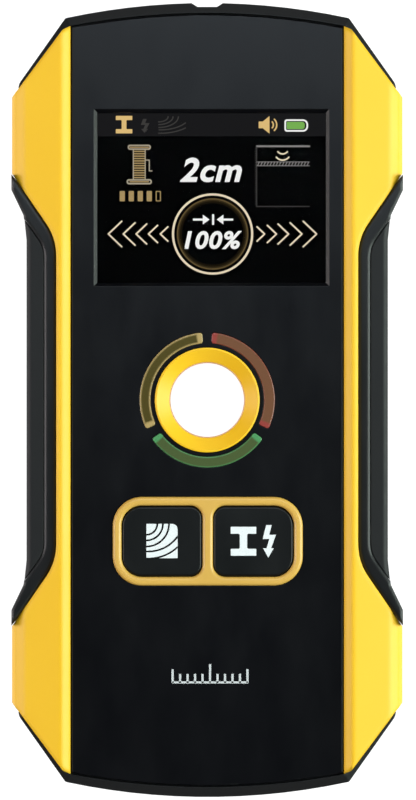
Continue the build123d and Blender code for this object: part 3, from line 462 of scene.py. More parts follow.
@dataclass(frozen=True)
class PressedFelt:
    """Dense wool felt with short tangled fibres."""

    name: str

    def build(self) -> bpy.types.Material:
        """Makes the material."""
        g = Graph(self.name)
        fibres = g.noise(0.25, 8.0, (1.0, 2.6, 1.0))
        colour = g.ramp(fibres, "Fac", [(0.3, Shade.FELT.value), (0.7, Shade.FELT_LIGHT.value)])
        g.join(colour, "Color", g.shader, "Base Color")
        g.set(Roughness=0.95, Specular_IOR_Level=0.1, Sheen_Weight=0.5, Sheen_Roughness=0.6)
        g.bump(fibres, "Fac", 0.12)
        return g.material


@dataclass(frozen=True)
class ScreenGlow:
    """Light from one colour of picture element, with the display's fine row pattern."""

    name: str
    colour: Colour
    strength: float = 1.0

    def build(self) -> bpy.types.Material:
        """Makes the material; rows and columns of picture elements dim it slightly."""
        g = Graph(self.name)
        rows = g.tree.nodes.new("ShaderNodeTexWave")
        rows.bands_direction = "Y"
        rows.inputs["Scale"].default_value = math.pi / (10 * 0.14 * MM)
        g.join(g.coordinates, "Object", rows, "Vector")
        shown = g.ramp(rows, "Fac", [(0.0, tinted(self.colour, 0.9)), (1.0, self.colour)])
        g.join(shown, "Color", g.shader, "Emission Color")
        g.set(Base_Color=(0.0, 0.0, 0.0, 1.0), Emission_Strength=self.strength, Roughness=0.6, Specular_IOR_Level=0.0)
        return g.material


@dataclass(frozen=True)
class PrintedInk:
    """Screen-printed ink: matt, thinly laid, with tiny pinholes."""

    name: str
    colour: Colour

    def build(self) -> bpy.types.Material:
        """Makes the material."""
        g = Graph(self.name)
        holes = g.noise(0.18, 2.0)
        colour = g.ramp(holes, "Fac", [(0.24, tinted(self.colour, 0.55)), (0.36, self.colour)])
        g.join(colour, "Color", g.shader, "Base Color")
        g.set(Roughness=0.5, Specular_IOR_Level=0.35)
        g.bump(holes, "Fac", 0.004)
        return g.material


# ------------------------------------------------------------- flat outlines
def turn_points(count: int, first: float = 0.0, last: float = 2 * math.pi, closed: bool = True) -> np.ndarray:
    """Angles from first to last, leaving the last out where they close a circle."""
    return np.linspace(first, last, count, endpoint=not closed)


def ellipse(x: float, y: float, rx: float, ry: float, count: int = 64) -> Outline:
    """Outline of an ellipse: centre plus (rx cos t, ry sin t)."""
    t = turn_points(count)
    return np.column_stack([x + rx * np.cos(t), y + ry * np.sin(t)])


def rounded_box(
    x: float, y: float, width: float, height: float, radii: float | tuple = 0.0, steps: int = 8
) -> Outline:
    """Outline of a box with rounded corners.

    Each corner is an arc: its centre plus its radius times (cos t, sin t), over a quarter turn.

    Args:
        x: the middle along X.
        y: the middle along Y.
        width: the size along X.
        height: the size along Y.
        radii: one radius, or four from the top right corner anticlockwise.
        steps: points in each corner.

    Returns:
        The outline, anticlockwise.
    """
    r = np.broadcast_to(np.asarray(radii, float), (4,)).reshape(4, 1) + 1e-4
    sign = np.array([[1, 1], [-1, 1], [-1, -1], [1, -1]], float)
    t = np.linspace(0, math.pi / 2, steps)[None, :] + (np.arange(4) * math.pi / 2)[:, None]
    corner_x = x + sign[:, :1] * (width / 2 - r)
    corner_y = y + sign[:, 1:] * (height / 2 - r)
    return np.column_stack([(corner_x + r * np.cos(t)).ravel(), (corner_y + r * np.sin(t)).ravel()])


def stroke(points: list[tuple[float, float]] | Outline, width: float, closed: bool = False) -> list[Outline]:
    """Outlines of the strips that draw a line of one width along points, one strip for each run.

    Each run is a rectangle, as long as the run plus half the width at each end, so that corners fill.

    Args:
        points: the line's points.
        width: the line's width.
        closed: whether the last point joins the first.

    Returns:
        One outline for each run.
    """
    line = np.asarray(points, float)
    ends = np.roll(line, -1, axis=0) if closed else line[1:]
    starts = line if closed else line[:-1]
    along = (ends - starts) / np.linalg.norm(ends - starts, axis=1, keepdims=True) * width / 2
    across = np.column_stack([-along[:, 1], along[:, 0]])
    starts, ends = starts - 0.55 * along, ends + 0.55 * along
    return list(np.stack([starts - across, ends - across, ends + across, starts + across], 1))


def arc_band(x: float, y: float, radius: float, width: float, first: float, last: float, count: int = 24) -> Outline:
    """Outline of an arc drawn with a width: out along the larger radius and back along the smaller."""
    t = np.radians(np.linspace(first, last, count))
    ring = np.column_stack([np.cos(t), np.sin(t)])
    middle = np.array([x, y])
    return np.vstack([middle + (radius + width / 2) * ring, middle + (radius - width / 2) * ring[::-1]])


# -------------------------------------------------------------- mesh making
def new_mesh(name: str, points: np.ndarray, faces: list, material: bpy.types.Material) -> bpy.types.Object:
    """Puts points and faces into an object.

    Args:
        name: the object's name.
        points: (n, 3), metres.
        faces: lists of point numbers.
        material: its finish.

    Returns:
        The object, at the origin.
    """
    mesh = bpy.data.meshes.new(name)
    mesh.from_pydata(points.tolist(), [], faces)
    mesh.validate()
    mesh.materials.append(material)
    made = bpy.data.objects.new(name, mesh)
    bpy.context.scene.collection.objects.link(made)
    return made


def slab_points(outline: Outline, low: float, high: float) -> tuple[np.ndarray, list]:
    """Points and faces of a closed prism: the outline at two heights, capped, with upright sides."""
    n = len(outline)
    flat = outline * MM
    points = np.vstack([
        np.column_stack([flat, np.full(n, low * MM)]),
        np.column_stack([flat, np.full(n, high * MM)]),
    ])
    i = np.arange(n)
    j = (i + 1) % n
    sides = np.column_stack([i, j, j + n, i + n]).tolist()
    caps = [i[::-1].tolist(), (i + n).tolist()]
    return points, sides + caps


def band_points(outer: Outline, inner: Outline, low: float, high: float) -> tuple[np.ndarray, list]:
    """Points and faces of a closed frame between two outlines with as many points each.

    The section's four corners run round the outlines: outer low, outer high, inner high, inner low.
    """
    n = len(outer)
    loops = [(outer, low), (outer, high), (inner, high), (inner, low)]
    points = np.vstack([np.column_stack([loop * MM, np.full(n, z * MM)]) for loop, z in loops])
    i = np.arange(n)
    j = (i + 1) % n
    faces = [
        np.column_stack([i + k * n, j + k * n, j + ((k + 1) % 4) * n, i + ((k + 1) % 4) * n])
        for k in range(4)
    ]
    return points, np.vstack(faces).tolist()


@dataclass
class FlatArt:
    """Thin shapes of one finish at one height, gathered into a single piece.

    Attributes:
        name: the piece's name.
        finish: its material.
        low: its underside, millimetres.
        high: its top, millimetres.
        body: the CAD body that it rides on.
        slot: the record's material slot, not used.
    """

    name: str
    finish: bpy.types.Material
    low: float
    high: float
    body: str = "root"
    slot: str = "display_dark"
    points: list[np.ndarray] = field(default_factory=list)
    faces: list[list[int]] = field(default_factory=list)
    count: int = 0

    def keep(self, made: tuple[np.ndarray, list]) -> None:
        """Adds one closed shape to the piece."""
        points, faces = made
        self.points.append(points)
        self.faces.extend([[index + self.count for index in face] for face in faces])
        self.count += len(points)

    def fill(self, *outlines: Outline) -> "FlatArt":
        """Adds a prism for each outline."""
        for outline in outlines:
            self.keep(slab_points(outline, self.low, self.high))
        return self

    def frame(self, outer: Outline, inner: Outline) -> "FlatArt":
        """Adds a closed frame between two outlines."""
        self.keep(band_points(outer, inner, self.low, self.high))
        return self

    def draw(self, points: list | Outline, width: float, closed: bool = False) -> "FlatArt":
        """Adds a line of one width."""
        return self.fill(*stroke(points, width, closed))

    def build(self) -> bpy.types.Object:
        """Makes the piece and lets it ride on its body."""
        made = new_mesh(self.name, np.vstack(self.points), self.faces, self.finish)
        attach(made, self.body)
        log.info("%s: %d shapes, %d points", self.name, len(self.points), self.count)
        return made


@dataclass
class Numerals:
    """A line of figures cut as solid letters.

    Attributes:
        name: the piece's name.
        words: what it says.
        box: its left, bottom, right and top, millimetres.
        low: its underside, millimetres.
        high: its top, millimetres.
        weight: how much its strokes are thickened, of its height.
        lean: its slant.
    """

    name: str
    words: str
    box: tuple[float, float, float, float]
    low: float
    high: float
    weight: float = 0.03
    lean: float = 0.0

    def build(self, finish: bpy.types.Material) -> bpy.types.Object:
        """Makes the letters a mesh, then fits the mesh into the box."""
        curve = bpy.data.curves.new(self.name, "FONT")
        curve.body = self.words
        curve.shear = self.lean
        curve.offset = self.weight
        curve.space_character = 1.08
        curve.extrude = 0.5
        curve.resolution_u = 4
        text = bpy.data.objects.new(self.name + "_text", curve)
        bpy.context.scene.collection.objects.link(text)
        bpy.context.view_layer.update()
        mesh = bpy.data.meshes.new_from_object(text)
        bpy.data.objects.remove(text)
        co = np.empty(len(mesh.vertices) * 3)
        mesh.vertices.foreach_get("co", co)
        co = co.reshape(-1, 3)
        low, high = co.min(0), co.max(0)
        left, bottom, right, top = self.box
        start = np.array([left, bottom, self.low]) * MM
        end = np.array([right, top, self.high]) * MM
        co = start + (co - low) / (high - low) * (end - start)
        mesh.vertices.foreach_set("co", co.ravel())
        mesh.materials.clear()
        mesh.materials.append(finish)
        made = bpy.data.objects.new(self.name, mesh)
        bpy.context.scene.collection.objects.link(made)
        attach(made, "root")
        log.info("%s: %d points", self.name, len(co))
        return made


# ------------------------------------------------------------- sub-assemblies
@dataclass
class Housing:
    """Shells, face panel, covers, rails and grips."""

    black: MouldedPlastic = MouldedPlastic(
        "shell_black", Shade.SHELL_BLACK.value, tinted(Shade.SHELL_BLACK.value, 1.2),
        roughness=0.40, grain_mm=0.4, grain_depth_mm=0.014, specular=0.34, edge_mm=0.3,
    )
    panel: MouldedPlastic = MouldedPlastic(
        "panel_black", Shade.PANEL_BLACK.value, tinted(Shade.PANEL_BLACK.value, 1.2),
        roughness=0.31, grain_mm=0.28, grain_depth_mm=0.003, specular=0.29, edge_mm=0.15,
    )
    yellow: MouldedPlastic = MouldedPlastic(
        "cover_yellow", Shade.COVER_YELLOW.value, Shade.COVER_YELLOW_DEEP.value,
        roughness=0.40, grain_mm=0.3, grain_depth_mm=0.003, specular=0.30, edge_mm=1.3,
    )
    rail: MouldedPlastic = MouldedPlastic(
        "rail_black", Shade.RAIL_BLACK.value, tinted(Shade.RAIL_BLACK.value, 1.25),
        roughness=0.33, grain_mm=0.4, grain_depth_mm=0.006, specular=0.42, edge_mm=0.9,
    )
    rubber: SoftRubber = SoftRubber("grip_rubber", Shade.RUBBER.value)

    def dress(self) -> None:
        """Gives each outer CAD node its finish."""
        paint(self.black.build(), "rear_shell", "front_shell", "battery_door")
        paint(self.panel.build(), "front_panel")
        paint(self.yellow.build(), "side_cover_left", "side_cover_right")
        paint(self.rail.build(), "side_rail_left", "side_rail_right")
        paint(self.rubber.build(), "grip_pad_left", "grip_pad_right")


@dataclass
class MarkingRing:
    """Yellow marking sleeve and the three unlit light guides round it."""

    inner_mm: float = 11.0
    outer_mm: float = 13.1
    half_turns: tuple[float, float, float] = (55.6, 55.7, 55.2)
    middles: tuple[float, float, float] = (149.9, 30.2, 270.1)

    def dress(self, yellow: MouldedPlastic) -> None:
        """Gives the sleeve and the guides their finishes.

        Args:
            yellow: the covers' finish, which the sleeve has in a finer texture.
        """
        sleeve = replace(yellow, name="sleeve_yellow", grain_mm=0.2, edge_mm=0.15)
        paint(sleeve.build(), "marking_sleeve")
        # Each guide's second colour is painted light along its outline.
        colours = (
            ("light_guide_amber", Shade.AMBER_CORE, Shade.AMBER_EDGE_LIGHT, 0.93),
            ("light_guide_red", Shade.RED_CORE, Shade.RED_EDGE_LIGHT, 0.70),
            ("light_guide_green", Shade.GREEN_CORE, Shade.GREEN_EDGE_LIGHT, 0.78),
        )
        for (node, core, edge_light, side_glow), middle, half in zip(colours, self.middles, self.half_turns):
            guide = TintedGuide(
                "guide_" + node.rsplit("_", 1)[1], core.value, edge_light.value,
                self.inner_mm, self.outer_mm, math.radians(middle), math.radians(half), side_glow,
            )
            paint(guide.build(), node)


@dataclass
class Keypad:
    """Golden key frame, two black keys and the symbols printed on them."""

    ink_mm: float = 0.03
    wood_middle: tuple[float, float] = (-8.75, -27.3)
    wood_size: tuple[float, float] = (6.05, 6.65)
    ring_width: float = 0.34
    beam_box: tuple[float, float, float, float] = (4.55, -30.15, 9.5, -24.55)
    bolt_box: tuple[float, float, float, float] = (10.75, -30.5, 13.3, -24.2)
    frame: MouldedPlastic = MouldedPlastic(
        "frame_gold", Shade.TRIM_GOLD.value, tinted(Shade.TRIM_GOLD.value, 0.93),
        roughness=0.36, grain_mm=0.2, grain_depth_mm=0.003, specular=0.5, edge_mm=0.2,
    )
    key: MouldedPlastic = MouldedPlastic(
        "key_black", Shade.KEY_BLACK.value, tinted(Shade.KEY_BLACK.value, 1.15),
        roughness=0.36, grain_mm=0.25, grain_depth_mm=0.003, specular=0.34, edge_mm=0.15,
    )

    def dress(self) -> None:
        """Gives the frame and the keys their finishes and prints the symbols."""
        paint(self.frame.build(), "key_frame")
        black = self.key.build()
        paint(black, "wood_key", "metal_key")
        ink = PrintedInk("key_ink", Shade.INK_WHITE.value).build()
        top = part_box("wood_key")[1].z / MM
        self.print_wood(ink, black, top)
        self.print_metal(ink, top)

    def print_wood(self, ink: bpy.types.Material, gap: bpy.types.Material, top: float) -> None:
        """A block of end grain: a square with one round corner, crossed by growth rings.

        Args:
            ink: the white ink.
            gap: the key's own finish, which shows between the rings.
            top: the key's top, millimetres.
        """
        x, y = self.wood_middle
        width, height = self.wood_size
        block = FlatArt("wood_symbol", ink, top - 0.01, top + self.ink_mm, "wood_key_body", "key_black")
        block.fill(rounded_box(x, y, width, height, (1.1, 0.05, 0.05, 0.05))).build()
        rings = FlatArt("wood_symbol_rings", gap, top, top + 1.4 * self.ink_mm, "wood_key_body", "key_black")
        for ring in growth_rings(x - width / 2, y + height / 2, width, height):
            rings.draw(ring, self.ring_width)
        rings.build()

    def print_metal(self, ink: bpy.types.Material, top: float) -> None:
        """A steel beam's section beside a lightning arrow."""
        art = FlatArt("metal_symbol", ink, top - 0.01, top + self.ink_mm, "metal_key_body", "key_black")
        art.fill(*beam_outline(*self.beam_box), bolt_outline(*self.bolt_box)).build()


def growth_rings(left: float, high: float, width: float, height: float) -> list[Outline]:
    """Lines of the growth rings in a block of end grain.

    Each is an arc, its middle plus its radius times (cos t, sin t), kept where it crosses the block.
    The middles are at or above the block's top left corner, and all are in shares of its width.

    Args:
        left: the block's left side.
        high: the block's top.
        width: the block's size along X.
        height: the block's size along Y.

    Returns:
        One line for each ring.
    """
    tall = 1.1
    shares = ((0.0, 0.0, 0.35), (0.0, 0.0, 0.53), (0.0, 0.0, 0.725), (0.07, 0.25, 1.135), (0.07, 0.25, 1.36))
    t = np.radians(np.linspace(-98, 8, 64))
    lines = []
    for across, above, radius in shares:
        arc = np.column_stack([across + radius * np.cos(t), above + radius * np.sin(t)])
        inside = (arc[:, 0] > -0.01) & (arc[:, 0] < 1.01) & (arc[:, 1] > -tall - 0.01) & (arc[:, 1] < 0.01)
        lines.append(arc[inside] * (width, height / tall) + (left, high))
    return lines


def beam_outline(left: float, low: float, right: float, high: float) -> list[Outline]:
    """Outlines of an I-beam's section: two flanges and a web with small fillets at its roots."""
    width, height = right - left, high - low
    flange, web, root = 0.24 * height, 0.145 * width, 0.035 * height
    middle = (left + right) / 2
    web_low, web_high = low + flange, high - flange
    post = [
        (middle - web - root, web_low), (middle + web + root, web_low), (middle + web, web_low + root),
        (middle + web, web_high - root), (middle + web + root, web_high), (middle - web - root, web_high),
        (middle - web, web_high - root), (middle - web, web_low + root),
    ]
    return [
        rounded_box(middle, low + flange / 2, width, flange, 0.02 * height, 4),
        rounded_box(middle, high - flange / 2, width, flange, 0.02 * height, 4),
        np.array(post, float),
    ]


def bolt_outline(left: float, low: float, right: float, high: float) -> Outline:
    """Outline of a lightning arrow in a box: a zigzag that ends in an arrowhead at its foot."""
    shares = np.array([
        (0.26, 1.0), (0.0, 0.57), (0.50, 0.57), (0.29, 0.285), (0.03, 0.285), (0.42, 0.0),
        (0.84, 0.285), (0.64, 0.285), (1.0, 0.70), (0.50, 0.70), (0.68, 1.0),
    ])
    return shares * (right - left, high - low) + (left, low)


@dataclass
class Display:
    """What the display shows, in layers just above the glass and under the lens.

    All places are millimetres from the middle of the marking hole.

    Attributes:
        window: left, bottom, right and top of the picture.
        layer_mm: the thickness of one layer.
    """

    window: tuple[float, float, float, float] = (-21.3, 22.7, 23.0, 55.7)
    layer_mm: float = 0.03
    bar_low: float = 51.25
    dial_middle: tuple[float, float] = (1.05, 32.25)
    dial_radius: float = 7.9
    gauge_left: float = 9.6
    gauge_right: float = 19.9
    gauge_low: float = 37.6
    gauge_high: float = 49.3
    readings: tuple[tuple, ...] = (
        ("depth_reading", "2cm", (-5.3, 42.3, 6.75, 47.1), 0.028, 0.25),
        ("share_reading", "100%", (-4.45, 29.3, 6.75, 32.85), 0.028, 0.2),
    )

    def dress(self) -> None:
        """Gives the display's CAD nodes their finishes and draws the picture."""
        paint(ClearLens("lens_clear").build(), "display_lens")
        glass = MouldedPlastic(
            "display_dark", Shade.SCREEN_BLACK.value, tinted(Shade.SCREEN_BLACK.value, 1.3),
            roughness=0.2, grain_mm=0.0, grain_depth_mm=0.0, specular=0.06,
        )
        paint(glass.build(), "display_glass")
        paint(SoftRubber("foam_black", tinted(Shade.RUBBER.value, 0.5), 0.85).build(), "display_gasket")
        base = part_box("display_glass")[1].z / MM + 0.01
        self.low = [base + index * self.layer_mm for index in range(4)]
        self.cream = ScreenGlow("screen_cream", Shade.SCREEN_CREAM.value).build()
        self.gold = ScreenGlow("screen_gold", Shade.SCREEN_GOLD.value).build()
        self.dim = ScreenGlow("screen_dim", Shade.SCREEN_DIM.value).build()
        self.tan = ScreenGlow("screen_tan", Shade.SCREEN_TAN.value).build()
        self.grey = ScreenGlow("screen_grey", Shade.SCREEN_GREY.value).build()
        self.white = ScreenGlow("screen_white", Shade.SCREEN_WHITE.value).build()
        self.draw_status_bar()
        self.draw_battery()
        self.draw_coil()
        self.draw_gauge()
        self.draw_dial()
        self.draw_chevrons()
        for name, words, box, weight, lean in self.readings:
            Numerals(name, words, box, self.low[0], self.low[1], weight, lean).build(self.white)

    def art(self, name: str, finish: bpy.types.Material, layer: int = 0) -> FlatArt:
        """A piece of the picture at one layer."""
        return FlatArt(name, finish, self.low[layer], self.low[layer] + self.layer_mm)

    def draw_status_bar(self) -> None:
        """Grey bar with the mode symbols and the loudspeaker."""
        left, _, right, top = self.window
        grey = ScreenGlow("screen_bar", Shade.SCREEN_BAR.value).build()
        middle_y = (self.bar_low + top) / 2
        bar = self.art("status_bar", grey)
        bar.fill(rounded_box((left + right) / 2, middle_y, right - left, top - self.bar_low, 0.0, 2)).build()
        shown = self.art("status_symbols", self.gold, 1)
        shown.fill(*beam_outline(-17.75, 51.8, -14.55, 55.2))
        cone = np.array([(10.0, 52.8), (10.8, 52.8), (12.1, 51.75), (12.1, 55.15), (10.8, 54.1), (10.0, 54.1)])
        shown.fill(cone, arc_band(12.0, 53.45, 0.85, 0.28, -50, 50), arc_band(12.0, 53.45, 1.5, 0.28, -50, 50))
        shown.build()
        idle = self.art("idle_symbols", self.dim, 1)
        idle.fill(bolt_outline(-12.9, 51.9, -11.2, 54.6))
        for ring in growth_rings(-9.45, 55.05, 5.3, 3.2):
            idle.draw(ring, 0.22)
        idle.build()

    def draw_battery(self) -> None:
        """Green charge in a pale battery outline with a rounder right end."""
        middle_x, middle_y = 17.3, (self.bar_low + self.window[3]) / 2 - 0.15
        case = self.art("battery_outline", self.white, 1)
        outer = rounded_box(middle_x, middle_y, 4.6, 2.4, (1.0, 0.5, 0.5, 1.0))
        case.frame(outer, rounded_box(middle_x, middle_y, 3.95, 1.75, (0.7, 0.25, 0.25, 0.7))).build()
        green = ScreenGlow("screen_green", Shade.SCREEN_GREEN.value).build()
        charge = self.art("battery_charge", green, 1)
        charge.fill(rounded_box(middle_x - 0.1, middle_y, 3.5, 1.4, (0.5, 0.15, 0.15, 0.5), 4)).build()

    def draw_coil(self) -> None:
        """Wound coil between two outlined flanges with a lead at its side, over a row of plain blocks."""
        x, low, high = -13.2, 42.4, 49.1
        bone = ScreenGlow("screen_bone", Shade.SCREEN_BONE.value).build()
        spool = self.art("coil_outline", bone)
        for y, width in ((low, 4.9), (high, 4.5)):
            spool.frame(rounded_box(x, y, width, 1.0, 0.45), rounded_box(x, y, width - 0.55, 0.45, 0.2))
        for side in (-1, 1):
            spool.draw([(x + side * 1.15, low + 0.5), (x + side * 1.15, high - 0.5)], 0.2)
        spool.draw([(x + 1.2, 46.6), (x + 1.95, 46.6), (x + 1.95, 44.5), (x + 2.5, 44.5)], 0.2).build()
        coil = self.art("coil_turns", self.tan)
        for y in np.linspace(low + 0.8, high - 0.8, 12):
            coil.draw([(x - 1.0, y), (x + 1.0, y)], 0.24)
        for y in (low, high):
            coil.draw([(x - 1.8, y), (x + 1.8, y)], 0.22)
        coil.build()
        levels = self.art("sensitivity_blocks", self.tan)
        for index, middle_x in enumerate(np.linspace(-16.5, -9.5, 5)):
            block = rounded_box(middle_x, 39.6, 1.0, 2.0, 0.12, 3)
            if index < 4:
                levels.fill(block)
            else:
                levels.frame(block, rounded_box(middle_x, 39.6, 0.65, 1.65, 0.05, 3))
        levels.build()

    def draw_gauge(self) -> None:
        """Depth gauge: a ruler down the left, the wall's face, a hatched layer and two echoes."""
        left, right, low, high = self.gauge_left, self.gauge_right, self.gauge_low, self.gauge_high
        middle_x = (left + right) / 2 - 0.1
        surface = self.art("gauge_surface", self.grey)
        surface.draw([(left, high), (right, high)], 0.34)
        for y in (45.5, 46.25):
            surface.draw([(left, y), (right, y)], 0.13)
        for x in np.arange(left + 0.2, right - 0.3, 0.6):
            surface.draw([(x, 45.55), (x + 0.3, 46.2)], 0.17)
        surface.build()
        ruler = self.art("gauge_ruler", self.dim)
        ruler.draw([(left, high), (left, low), (right, low)], 0.2)
        for y in np.linspace(low + 0.5, high - 0.5, 25):
            ruler.draw([(left - 0.3, y), (left, y)], 0.13)
        ruler.build()
        echo = self.art("gauge_echoes", self.cream)
        echo.fill(arc_band(middle_x, 49.0, 1.2, 0.28, 214, 326), arc_band(middle_x, 48.15, 1.55, 0.28, 214, 326))
        echo.build()

    def draw_dial(self) -> None:
        """Aiming circle with a dim inner ring and a centring mark above the reading."""
        x, y = self.dial_middle
        ring = self.art("dial_ring", self.cream)
        outer, inner = self.dial_radius, self.dial_radius - 0.42
        ring.frame(ellipse(x, y, outer, outer, 96), ellipse(x, y, inner, inner, 96)).build()
        for index, (radius, width, shade) in enumerate(((6.95, 0.28, 0.15), (6.67, 0.3, 0.04), (6.37, 0.4, 0.012))):
            glow = ScreenGlow(f"screen_glow_{index}", tinted(Shade.SCREEN_GOLD.value, shade)).build()
            halo = self.art(f"dial_glow_{index}", glow)
            inside = radius - width
            halo.frame(ellipse(x, y, radius, radius, 96), ellipse(x, y, inside, inside, 96)).build()
        mark = self.art("centring_mark", self.white)
        mark.fill(rounded_box(x + 0.1, 35.05, 0.4, 2.1, 0.1, 3))
        for side in (-1, 1):
            tip = x + 0.1 + side * 0.7
            arrow = np.array([(tip, 35.05), (tip + side * 1.3, 34.1), (tip + side * 1.3, 36.0)])
            mark.fill(arrow if side < 0 else arrow[::-1])
            mark.draw([(tip + side * 1.2, 35.05), (tip + side * 3.1, 35.05)], 0.4)
        mark.build()

    def draw_chevrons(self) -> None:
        """Rows of chevrons that point outwards on both sides of the dial, smaller towards it."""
        y = self.dial_middle[1]
        arrows = self.art("chevrons", self.cream)
        reaches = (2.5, 2.2, 1.97, 1.7, 1.42)
        rows = {-1: (-19.2, -16.3, -13.8, -11.4, -9.1), 1: (21.25, 18.4, 15.8, 13.45, 11.15)}
        for side, tips in rows.items():
            for tip, reach in zip(tips, reaches):
                depth = 1.05 * reach
                arrows.draw([(tip - side * depth, y + reach), (tip, y), (tip - side * depth, y - reach)], 0.3)
        arrows.build()


@dataclass
class FacePrint:
    """Plain scale printed near the foot of the face, with a longer mark at its middle."""

    left: float = -6.7
    right: float = 7.8
    low: float = -54.7
    high: float = -51.3
    marks: int = 11

    def build(self) -> None:
        """Prints upright marks of three lengths over a base line."""
        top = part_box("front_panel")[1].z / MM
        ink = PrintedInk("face_ink", tinted(Shade.INK_WHITE.value, 0.75)).build()
        art = FlatArt("face_scale", ink, top - 0.01, top + 0.03, "root", "panel_black")
        art.draw([(self.left, self.low), (self.right, self.low)], 0.4)
        reach = self.high - self.low
        for index, x in enumerate(np.linspace(self.left, self.right, self.marks)):
            share = 1.0 if index == self.marks // 2 else 0.72 if index % 5 == 0 else 0.45
            art.draw([(x, self.low), (x, self.low + share * reach)], 0.42)
        art.build()


@dataclass
class FeltFeet:
    """Four felt feet with domed, slightly uneven undersides and soft edges."""

    width: float = 5.4
    length: float = 9.5
    place_x: float = 30.3
    place_y: float = 57.8
    rings: int = 14
    around: int = 72

    def foot(self, x: float, y: float, thickness: float, seed: int) -> tuple[np.ndarray, np.ndarray]:
        """One foot as a grid: rings shrink from the outline to the middle, on both sides.

        The outline is a stadium. The section is a superellipse, so the edge is round and the sole is
        nearly flat, and a sum of sine waves along both parameters roughens it by hundredths.

        Args:
            x: its middle along X.
            y: its middle along Y.
            thickness: its height.
            seed: what the waves' phases start from.

        Returns:
            The points and the faces.
        """
        rng = np.random.default_rng(seed)
        v = np.linspace(0, math.pi, self.rings)
        u = turn_points(self.around)
        radius = self.width / 2
        straight = (self.length - self.width) / 2
        out = np.sin(v)[:, None] ** 0.25
        ring_x = out * radius * np.cos(u)[None, :]
        ring_y = out * radius * np.sin(u)[None, :] + np.sign(np.round(np.sin(u), 9))[None, :] * straight * out
        height = -np.sign(np.cos(v)) * np.abs(np.cos(v)) ** 0.35
        waves = sum(
            0.012 * np.sin(k * u[None, :] + phase) * np.sin((k % 5 + 1) * v[:, None] + phase)
            for k, phase in zip((5, 9, 14, 23), rng.uniform(0, 6.28, 4))
        )
        ring_z = thickness / 2 * (1 + height[:, None]) + waves * (height[:, None] > -0.98)
        points = np.stack([x + ring_x, y + ring_y, np.clip(ring_z, 0.0, thickness)], -1).reshape(-1, 3) * MM
        i, j = np.meshgrid(np.arange(self.rings - 1), np.arange(self.around), indexing="ij")
        k = (j + 1) % self.around
        a, b = i * self.around + j, i * self.around + k
        faces = np.stack([a, b, b + self.around, a + self.around], -1).reshape(-1, 4)
        return points, faces

    def build(self) -> None:
        """Makes the four feet one piece in place of the plain CAD pads."""
        thickness = (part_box("felt_pads")[1].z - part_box("felt_pads")[0].z) / MM - 0.02
        points, faces, count = [], [], 0
        for seed, (sx, sy) in enumerate(((1, 1), (-1, 1), (-1, -1), (1, -1))):
            made, quads = self.foot(sx * self.place_x, sy * self.place_y, thickness, seed)
            points.append(made)
            faces.append(quads + count)
            count += len(made)
        feet = new_mesh("felt_feet", np.vstack(points), np.vstack(faces).tolist(), PressedFelt("felt_grey").build())
        close_poles(feet)
        shade_smooth(feet)
        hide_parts("felt_pads")
        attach(feet, "root")
        log.info("felt_feet: %d points", count)


def close_poles(piece: bpy.types.Object) -> None:
    """Merges points that coincide, so that each pole closes, and turns the faces outwards."""
    work = bmesh.new()
    work.from_mesh(piece.data)
    bmesh.ops.remove_doubles(work, verts=work.verts, dist=2e-6)
    bmesh.ops.recalc_face_normals(work, faces=work.faces)
    work.to_mesh(piece.data)
    work.free()


def shade_smooth(piece: bpy.types.Object) -> None:
    """Shades every face of a piece smoothly."""
    piece.data.polygons.foreach_set("use_smooth", np.ones(len(piece.data.polygons), bool))


@dataclass
class Works:
    """Boards, chips, coil, cells, contacts and screws inside the housing."""

    def dress(self) -> None:
        """Gives each inner CAD node its finish."""
        board = SolderMask("board_green", (0.012, 0.105, 0.035), (0.035, 0.21, 0.075)).build()
        paint(board, "main_board", "sensor_board")
        chip = MouldedPlastic("chip_black", (0.012, 0.012, 0.013), (0.018, 0.018, 0.018), 0.55, 0.15, 0.01)
        paint(chip.build(), "controller_chip", "memory_chip", "sensor_chip", "board_link_header")
        dark = MouldedPlastic("switch_body", (0.02, 0.02, 0.021), (0.028, 0.028, 0.028), 0.4, 0.2, 0.006)
        paint(dark.build(), "buzzer", "wood_switch", "metal_switch")
        stem = MouldedPlastic("switch_stem", (0.42, 0.03, 0.02), (0.36, 0.025, 0.018), 0.4, 0.2, 0.004)
        paint(stem.build(), "wood_switch_stem", "metal_switch_stem")
        ivory = MouldedPlastic("connector_ivory", (0.56, 0.52, 0.40), (0.5, 0.46, 0.35), 0.45, 0.2, 0.004)
        paint(ivory.build(), "display_connector", "status_leds")
        film = MouldedPlastic("flex_amber", (0.30, 0.11, 0.012), (0.24, 0.08, 0.01), 0.25, 0.6, 0.006)
        paint(film.build(), "display_flex")
        bobbin = MouldedPlastic("bobbin_white", (0.62, 0.6, 0.54), (0.55, 0.53, 0.48), 0.45, 0.3, 0.006)
        paint(bobbin.build(), "coil_bobbin")
        paint(WoundWire("winding_copper", (0.62, 0.22, 0.07)).build(), "coil_winding")
        paint(WorkedMetal("copper", (0.72, 0.36, 0.19), 0.35).build(), "sensor_plates", "mains_antenna")
        paint(WorkedMetal("tray_steel", (0.52, 0.53, 0.54)).build(), "display_frame")
        nickel = WorkedMetal("contact_nickel", (0.62, 0.6, 0.55), 0.26, (6.0, 6.0, 0.4))
        paint(nickel.build(), "battery_contacts", "battery_springs")
        screw = WorkedMetal("screw_steel", (0.10, 0.10, 0.105), 0.34, (1.0, 1.0, 5.0))
        paint(screw.build(), "case_screws", "board_screws")
        for index, nub_side in ((1, 1.0), (2, -1.0), (3, 1.0)):
            wrap = CellWrap(f"cell_wrap_{index}", (0.012, 0.013, 0.015), (0.45, 0.20, 0.05), nub_side)
            paint(wrap.build(), f"battery_cell_{index}")


